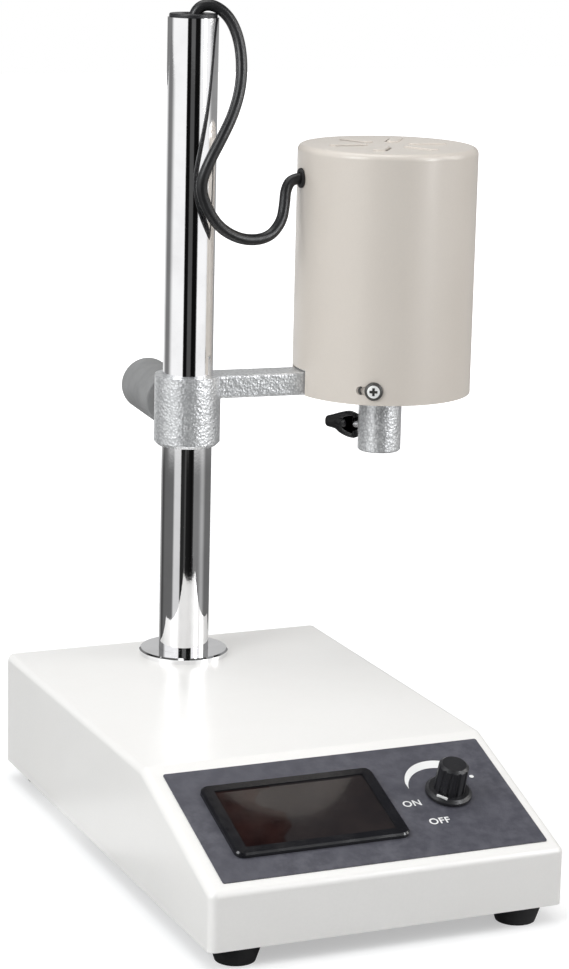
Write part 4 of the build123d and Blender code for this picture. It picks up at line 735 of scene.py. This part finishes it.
# half outlines in mm: distance from the motor's axis, and away from the screw's axis
WING_UPPER = [(19.6, 1.4), (17.0, 2.8), (13.0, 3.2), (12.9, 4.9), (15.6, 5.9), (18.6, 6.3)]
WING_UPPER += [(24.0, 4.7), (28.0, 3.1), (31.8, 2.0)]
WING_LOWER = [(31.8, -3.1), (28.0, -3.6), (25.2, -3.9), (23.2, -5.6), (19.6, -6.9)]
WING_LOWER += [(16.4, -7.5), (12.9, -7.4), (13.0, -3.5), (17.0, -3.0), (19.6, -1.4)]
WING_LAYERS = [(-1.0, 1.4), (-0.82, 0.5), (-0.4, 0.0), (0.4, 0.0), (0.82, 0.5), (1.0, 1.4)]
WING_ROOT_HALF, WING_TIP_HALF = 2.9, 1.8  # half its thickness at the screw and at the tip
WING_TAPER_FROM, WING_TAPER_L = 18.0, 14.0  # where the thickness starts to fall, and for how long
WING_EDGE_ANGLE = 50
WING_HUB = [(1.6, 17.6), (3.1, 18.2), (3.5, 19.4), (3.3, 22.5), (2.4, 26.0), (1.2, 27.5)]
WING_HUB_SIDES = 24


def wing_handle():
    """A moulded wing: two lobes that straddle the screw, a blunt tip and a swelling hub."""
    ring = rounded([Vector((x, y, 0)) for x, y in WING_UPPER + WING_LOWER])
    count = len(ring)
    verts, faces = [], []
    for level, inset in WING_LAYERS:
        for k in range(count):
            before, point, after = ring[k - 1], ring[k], ring[(k + 1) % count]
            inward = (after - before).cross(Vector((0, 0, 1))).normalized()
            share = min(max((point.x - WING_TAPER_FROM) / WING_TAPER_L, 0.0), 1.0)
            half = WING_ROOT_HALF + share * (WING_TIP_HALF - WING_ROOT_HALF)
            spot = point + inward * inset
            verts.append((spot.x * MM, spot.y * MM, level * half * MM))
    for i in range(len(WING_LAYERS) - 1):
        for k in range(count):
            a, b = i * count + k, i * count + (k + 1) % count
            faces.append((a, a + count, b + count, b))
    faces.append(tuple(range(count)))
    last = (len(WING_LAYERS) - 1) * count
    faces.append(tuple(range(last + count - 1, last - 1, -1)))
    hub_profile = [(r * MM, h * MM) for r, h in WING_HUB]
    hub, hub_faces = spun(hub_profile, WING_HUB_SIDES, first=len(verts))
    along = Matrix.Rotation(math.radians(90), 4, "Y")
    verts += [along @ Vector(point) for point in hub]
    mesh = mesh_from("wing_handle", verts, faces + hub_faces, WING)
    piece = new_object("wing_handle", mesh, "tool_clamp_turner", WING_BLACK)
    mesh.set_sharp_from_angle(angle=math.radians(WING_EDGE_ANGLE))
    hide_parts("tool_clamp_knob")


wing_handle()


# ---------------------------------------------------------------- display frame and pane
BEZEL_LEFT, BEZEL_RIGHT, BEZEL_ALONG = 2.6 * MM, 1.0 * MM, 1.2 * MM  # wider than the CAD's
PANEL_INVERSE = KNOB_PANEL.inverted()
BEZEL_POINTS = [PANEL_INVERSE @ vertex.co for vertex in NODES["display_bezel"].data.vertices]
BEZEL_LOW = [min(point[i] for point in BEZEL_POINTS) for i in (0, 1)]
BEZEL_HIGH = [max(point[i] for point in BEZEL_POINTS) for i in (0, 1)]


def wider_frame(place):
    """Stretches a point of the display in the panel's plane."""
    local = PANEL_INVERSE @ place
    share = [(local[i] - BEZEL_LOW[i]) / (BEZEL_HIGH[i] - BEZEL_LOW[i]) for i in (0, 1)]
    local.x += share[0] * BEZEL_RIGHT - (1 - share[0]) * BEZEL_LEFT
    local.y += (2 * share[1] - 1) * BEZEL_ALONG
    return KNOB_PANEL @ local


reshaped("display_bezel", "display_frame", "base", BLACK_GLOSS, wider_frame)
reshaped("display_window", "display_pane", "base", WINDOW, wider_frame)


# ---------------------------------------------------------------- print on the panel
INK_HEIGHT = LABEL_TOP + 0.00012
LETTER_SIZE = 0.0056
LETTER_SPACING = 1.08
LETTER_WEIGHT = 0.00012  # how much each stroke is thickened


def ink(name, outline, faces=None):
    """A flat printed mark on the panel, from points about the knob's place in metres."""
    verts = [(x, y, INK_HEIGHT) for x, y in outline]
    mesh = mesh_from(name, verts, faces or [tuple(range(len(verts)))], KNOB_PANEL)
    new_object(name, mesh, "base", WHITE_INK, smooth=False)


# about the knob's axis: the middle and radius of the wedge's two arcs, and its ends in degrees
WEDGE_INNER, WEDGE_INNER_R = (-0.0010, 0.0026), 0.0162
WEDGE_OUTER, WEDGE_OUTER_R = (0.0006, 0.0063), 0.0179
WEDGE_ENDS = (168, 38)
WEDGE_STEPS = 40
SPOT_SIDES = 24
# the white bar on the skirt is both the knob's pointer and a painted highlight along the skirt's
# rim
POINTER_TURN = math.radians(224)
POINTER_R = 0.0088  # from the knob's axis to the middle of the bar
POINTER_HALF_L, POINTER_HALF_W = 0.0022, 0.00045
POINTER_END_TURNS = range(0, 181, 30)  # degrees round each of its ends
POINTER_FOOT, POINTER_TOP = 0.0024, 0.0042  # heights above the panel


def speed_wedge():
    """A wedge round the knob that grows clockwise, the sign for more speed."""
    start, stop = (math.radians(turn) for turn in WEDGE_ENDS)
    verts = []
    for i in range(WEDGE_STEPS + 1):
        angle = start + (stop - start) * i / WEDGE_STEPS
        direction = Vector((math.cos(angle), math.sin(angle)))
        verts.append(Vector(WEDGE_INNER) + direction * WEDGE_INNER_R)
        verts.append(Vector(WEDGE_OUTER) + direction * WEDGE_OUTER_R)
    faces = [(2 * i, 2 * i + 1, 2 * i + 3, 2 * i + 2) for i in range(WEDGE_STEPS)]
    ink("speed_wedge", verts, faces)


def dot(name, x, y, radius):
    """A round printed spot."""
    ring = [2 * math.pi * k / SPOT_SIDES for k in range(SPOT_SIDES)]
    ink(name, [(x + radius * math.cos(t), y + radius * math.sin(t)) for t in ring])


def word(name, text, x, y):
    """Printed letters standing on a line of the panel."""
    curve = bpy.data.curves.new(name, "FONT")
    curve.body = text
    curve.size = LETTER_SIZE
    curve.space_character = LETTER_SPACING
    curve.offset = LETTER_WEIGHT
    carrier = bpy.data.objects.new(name, curve)
    bpy.context.scene.collection.objects.link(carrier)
    mesh = bpy.data.meshes.new_from_object(carrier)
    bpy.data.objects.remove(carrier)
    bpy.data.curves.remove(curve)
    mesh.transform(KNOB_PANEL @ Matrix.Translation((x, y, INK_HEIGHT)))
    new_object(name, mesh, "base", WHITE_INK, smooth=False)


def pointer_and_highlight_bar():
    """A white bar across the knob's skirt, with rounded ends: the knob's pointer, laid along the
    skirt's rim as a painted highlight of the rim.
    """
    ring = []
    for end, first in ((POINTER_HALF_L, 0), (-POINTER_HALF_L, 180)):
        for turn in POINTER_END_TURNS:
            angle = math.radians(first + turn)
            side = POINTER_R + POINTER_HALF_W * math.cos(angle)
            ring.append((side, end + POINTER_HALF_W * math.sin(angle)))
    count = len(ring)
    verts = [(x, y, top) for top in (POINTER_FOOT, POINTER_TOP) for x, y in ring]
    faces = [(k, (k + 1) % count, count + (k + 1) % count, count + k) for k in range(count)]
    faces += [tuple(range(count - 1, -1, -1)), tuple(range(count, 2 * count))]
    turned = KNOB_PANEL @ Matrix.Rotation(POINTER_TURN, 4, "Z")
    mesh = mesh_from("pointer_and_highlight_bar", verts, faces, turned)
    new_object("pointer_and_highlight_bar", mesh, "speed_control", WHITE_INK, smooth=False)


speed_wedge()
pointer_and_highlight_bar()
dot("fast_spot", 0.0164, 0.0096, 0.0011)
word("word_on", "ON", -0.0245, -0.0060)
word("word_off", "OFF", -0.0176, -0.0200)


# ---------------------------------------------------------------- room and light
# the studio's front: the side that the panel and the louvred cover are lit and seen from
STUDIO_FRONT = Vector((math.sin(CAMERA_AZIMUTH), -math.cos(CAMERA_AZIMUTH), 0))
STUDIO_RIGHT = Vector((math.cos(CAMERA_AZIMUTH), math.sin(CAMERA_AZIMUTH), 0))
# cards that stand round the bench and show in polished metal: middle, half width and soft
# edge in degrees from the studio's front towards its right, and how bright each one is
STUDIO_CARDS = [
    (-136, 24, 22, 0.22),
    (8, 27, 5, 0.12),
    (-13, 6, 5, 0.08),
    (24, 8, 5, 0.05),
    (136, 30, 26, 0.28),
    (180, 12, 18, 0.78),
]
# the same for what a polished column mirrors of the floor: the bench close by, the room further off
BENCH_CARDS = [
    (-96, 36, 12, 0.20),
    (-150, 26, 20, 0.50),
    (8, 27, 5, 0.10),
    (-13, 6, 5, 0.35),
    (17, 12, 5, 0.20),
    (48, 12, 40, 0.30),
    (135, 28, 34, 0.22),
]
ROOM_CARDS = [
    (-112, 8, 30, 0.20),
    (8, 27, 5, 0.085),
    (-13, 6, 5, 0.05),
    (24, 8, 5, 0.05),
    (130, 26, 26, 0.30),
]
CEILING_LEVEL = 0.10  # the dull ceiling round the overhead box


class Room:
    """Node calls that the world and the floor share."""

    def __init__(self, tree):
        self.nodes, self.links = tree.nodes, tree.links
        self.nodes.clear()
        self.path = self.nodes.new("ShaderNodeLightPath").outputs

    def feed(self, socket, value):
        """Sets a socket to a value, or links it to another socket."""
        if isinstance(value, bpy.types.NodeSocket):
            self.links.new(value, socket)
        else:
            socket.default_value = value

    def math(self, operation, first, second=0.0):
        """One step of arithmetic."""
        node = self.nodes.new("ShaderNodeMath")
        node.operation = operation
        self.feed(node.inputs[0], first)
        self.feed(node.inputs[1], second)
        return node.outputs["Value"]

    def vector(self, operation, first, second, output="Value"):
        """One step of vector arithmetic."""
        node = self.nodes.new("ShaderNodeVectorMath")
        node.operation = operation
        self.feed(node.inputs[0], first)
        self.feed(node.inputs[1], second)
        return node.outputs[output]

    def ramp(self, value, low, high, to_low, to_high):
        """A value taken smoothly from one range to another."""
        node = self.nodes.new("ShaderNodeMapRange")
        node.interpolation_type = "SMOOTHSTEP"
        for socket, number in zip(node.inputs, (value, low, high, to_low, to_high)):
            self.feed(socket, number)
        return node.outputs["Result"]

    def glow(self, strength, color=(1, 1, 1, 1), kind="ShaderNodeEmission"):
        """A surface or backdrop that glows."""
        node = self.nodes.new(kind)
        node.inputs["Color"].default_value = color
        self.feed(node.inputs["Strength"], strength)
        return node.outputs[0]

    def mix(self, factor, first, second):
        """Two shaders mixed by a factor."""
        node = self.nodes.new("ShaderNodeMixShader")
        self.feed(node.inputs[0], factor)
        self.links.new(first, node.inputs[1])
        self.links.new(second, node.inputs[2])
        return node.outputs[0]

    def mirrored(self):
        """1 for a ray that left metal or passed through glass."""
        return self.math("MAXIMUM", self.path["Is Glossy Ray"], self.path["Is Transmission Ray"])

    def cards(self, offset, cards=STUDIO_CARDS):
        """How bright the standing cards are in the direction of an offset from the bench."""
        across = self.vector("DOT_PRODUCT", offset, STUDIO_RIGHT)
        ahead = self.vector("DOT_PRODUCT", offset, STUDIO_FRONT)
        turn = self.math("ARCTAN2", across, ahead)
        level = 1.0
        for middle, half, soft, bright in cards:
            away = self.math("ABSOLUTE", self.math("SUBTRACT", turn, math.radians(middle)))
            away = self.math("MINIMUM", away, self.math("SUBTRACT", math.tau, away))
            edge = math.radians(half)
            card = self.ramp(away, edge, edge + math.radians(soft), bright, 1.0)
            level = self.math("MULTIPLY", card, level)
        return level


FLOOR_SIZE = 4.0
FLOOR_COLOR = (0.62, 0.62, 0.62, 1)
BENCH_REACH = (0.70, 0.95)  # where the dull bench ends and the bright floor begins, in metal
BENCH_LEVEL = 0.68  # how bright the bench is between its cards, in metal
FADE_REACH = (0.35, 1.3)  # how far from the object the floor turns wholly white for the camera
FLOOR_LIFT = 0.44


def add_stage():
    """A pale floor that keeps the object's shadow and fades into a white surround."""
    corners = [(-1, -1), (1, -1), (1, 1), (-1, 1)]
    mesh = mesh_from(
        "floor", [(FLOOR_SIZE * x, FLOOR_SIZE * y, 0) for x, y in corners], [(0, 1, 2, 3)]
    )
    material = bpy.data.materials.new("floor_look")
    material.use_nodes = True
    room = Room(material.node_tree)
    place = room.nodes.new("ShaderNodeTexCoord").outputs["Object"]
    foot = Vector((COLUMN_AXIS.x, COLUMN_AXIS.y, 0))
    offset = room.vector("SUBTRACT", place, foot, "Vector")
    reach = room.vector("LENGTH", offset, (0, 0, 0))
    matt = room.nodes.new("ShaderNodeBsdfDiffuse")
    matt.inputs["Color"].default_value = FLOOR_COLOR
    lift = room.math(
        "MULTIPLY", room.ramp(reach, *FADE_REACH, FLOOR_LIFT, 1.0), room.path["Is Camera Ray"]
    )
    add = room.nodes.new("ShaderNodeAddShader")
    room.links.new(matt.outputs[0], add.inputs[0])
    room.links.new(room.glow(lift), add.inputs[1])
    bench = room.math("MULTIPLY", room.cards(offset, BENCH_CARDS), BENCH_LEVEL)
    bench = room.math("MULTIPLY", bench, room.ramp(reach, *BENCH_REACH, 1.0, 0.0))
    beyond = room.ramp(reach, *BENCH_REACH, 0.0, 1.0)
    beyond = room.math("MULTIPLY", room.cards(offset, ROOM_CARDS), beyond)
    mirror = room.glow(room.math("ADD", bench, beyond))
    output = room.nodes.new("ShaderNodeOutputMaterial")
    room.links.new(room.mix(room.mirrored(), add.outputs[0], mirror), output.inputs["Surface"])
    mesh.materials.append(material)
    floor = bpy.data.objects.new("floor", mesh)
    bpy.context.scene.collection.objects.link(floor)


SKY_FILL = 0.60
SKY_COLOR = (0.97, 0.985, 1.0, 1)
# heights in the sky, as the sine of the angle above the horizon, in metal
CEILING_REACH = (0.42, 0.62)  # where the cards end and the dull ceiling begins
OVERHEAD_REACH = (0.955, 0.995)  # the bright box straight above
OVERHEAD_LEVEL = 0.9


def add_world():
    """White for the camera, cards for polished metal, and an even fill for everything else."""
    world = bpy.data.worlds.new("surround")
    world.use_nodes = True
    bpy.context.scene.world = world
    room = Room(world.node_tree)
    direction = room.nodes.new("ShaderNodeTexCoord").outputs["Generated"]
    height = room.vector("DOT_PRODUCT", direction, (0, 0, 1))
    ceiling = room.ramp(height, *CEILING_REACH, 1.0, CEILING_LEVEL)
    overhead = room.ramp(height, *OVERHEAD_REACH, 0.0, OVERHEAD_LEVEL)
    cards = room.math("MULTIPLY", room.cards(direction), ceiling)
    cards = room.math("MAXIMUM", cards, overhead)
    backdrop = "ShaderNodeBackground"
    fill = room.glow(SKY_FILL, SKY_COLOR, backdrop)
    seen = room.mix(room.mirrored(), fill, room.glow(cards, kind=backdrop))
    seen = room.mix(room.path["Is Camera Ray"], seen, room.glow(1.0, kind=backdrop))
    output = room.nodes.new("ShaderNodeOutputWorld")
    room.links.new(seen, output.inputs["Surface"])


AIM = (0.0, 0.0, 0.18)
# name, place, width, height, power in watts and colour
LAMPS = [
    ("key_box", (-1.66, -0.55, 1.2), 0.9, 1.1, 19, (0.97, 0.99, 1.0)),
    ("right_box", (1.59, -0.48, 0.9), 0.7, 1.4, 11.5, (1.0, 0.98, 0.96)),
    ("top_box", (-0.25, 0.35, 1.9), 1.2, 1.4, 12.7, (1, 1, 1)),
    ("strip_box", (0.99, -1.33, 0.9), 0.35, 1.6, 17, (0.97, 0.98, 1.0)),
]
SHEEN_LAMP = "strip_box"  # shows in gloss and metal alone


def softbox(name, place, width, height, power, color):
    """A rectangular lamp that faces the object."""
    data = bpy.data.lights.new(name, "AREA")
    data.shape = "RECTANGLE"
    data.size, data.size_y = width, height
    data.energy = power
    data.color = color
    lamp = bpy.data.objects.new(name, data)
    lamp.location = place
    lamp.rotation_mode = "QUATERNION"
    lamp.rotation_quaternion = (Vector(AIM) - Vector(place)).to_track_quat("-Z", "Y")
    lamp.visible_diffuse = name != SHEEN_LAMP
    bpy.context.scene.collection.objects.link(lamp)


add_stage()
add_world()
for lamp_row in LAMPS:
    softbox(*lamp_row)
bpy.context.scene.view_settings.view_transform = "Standard"
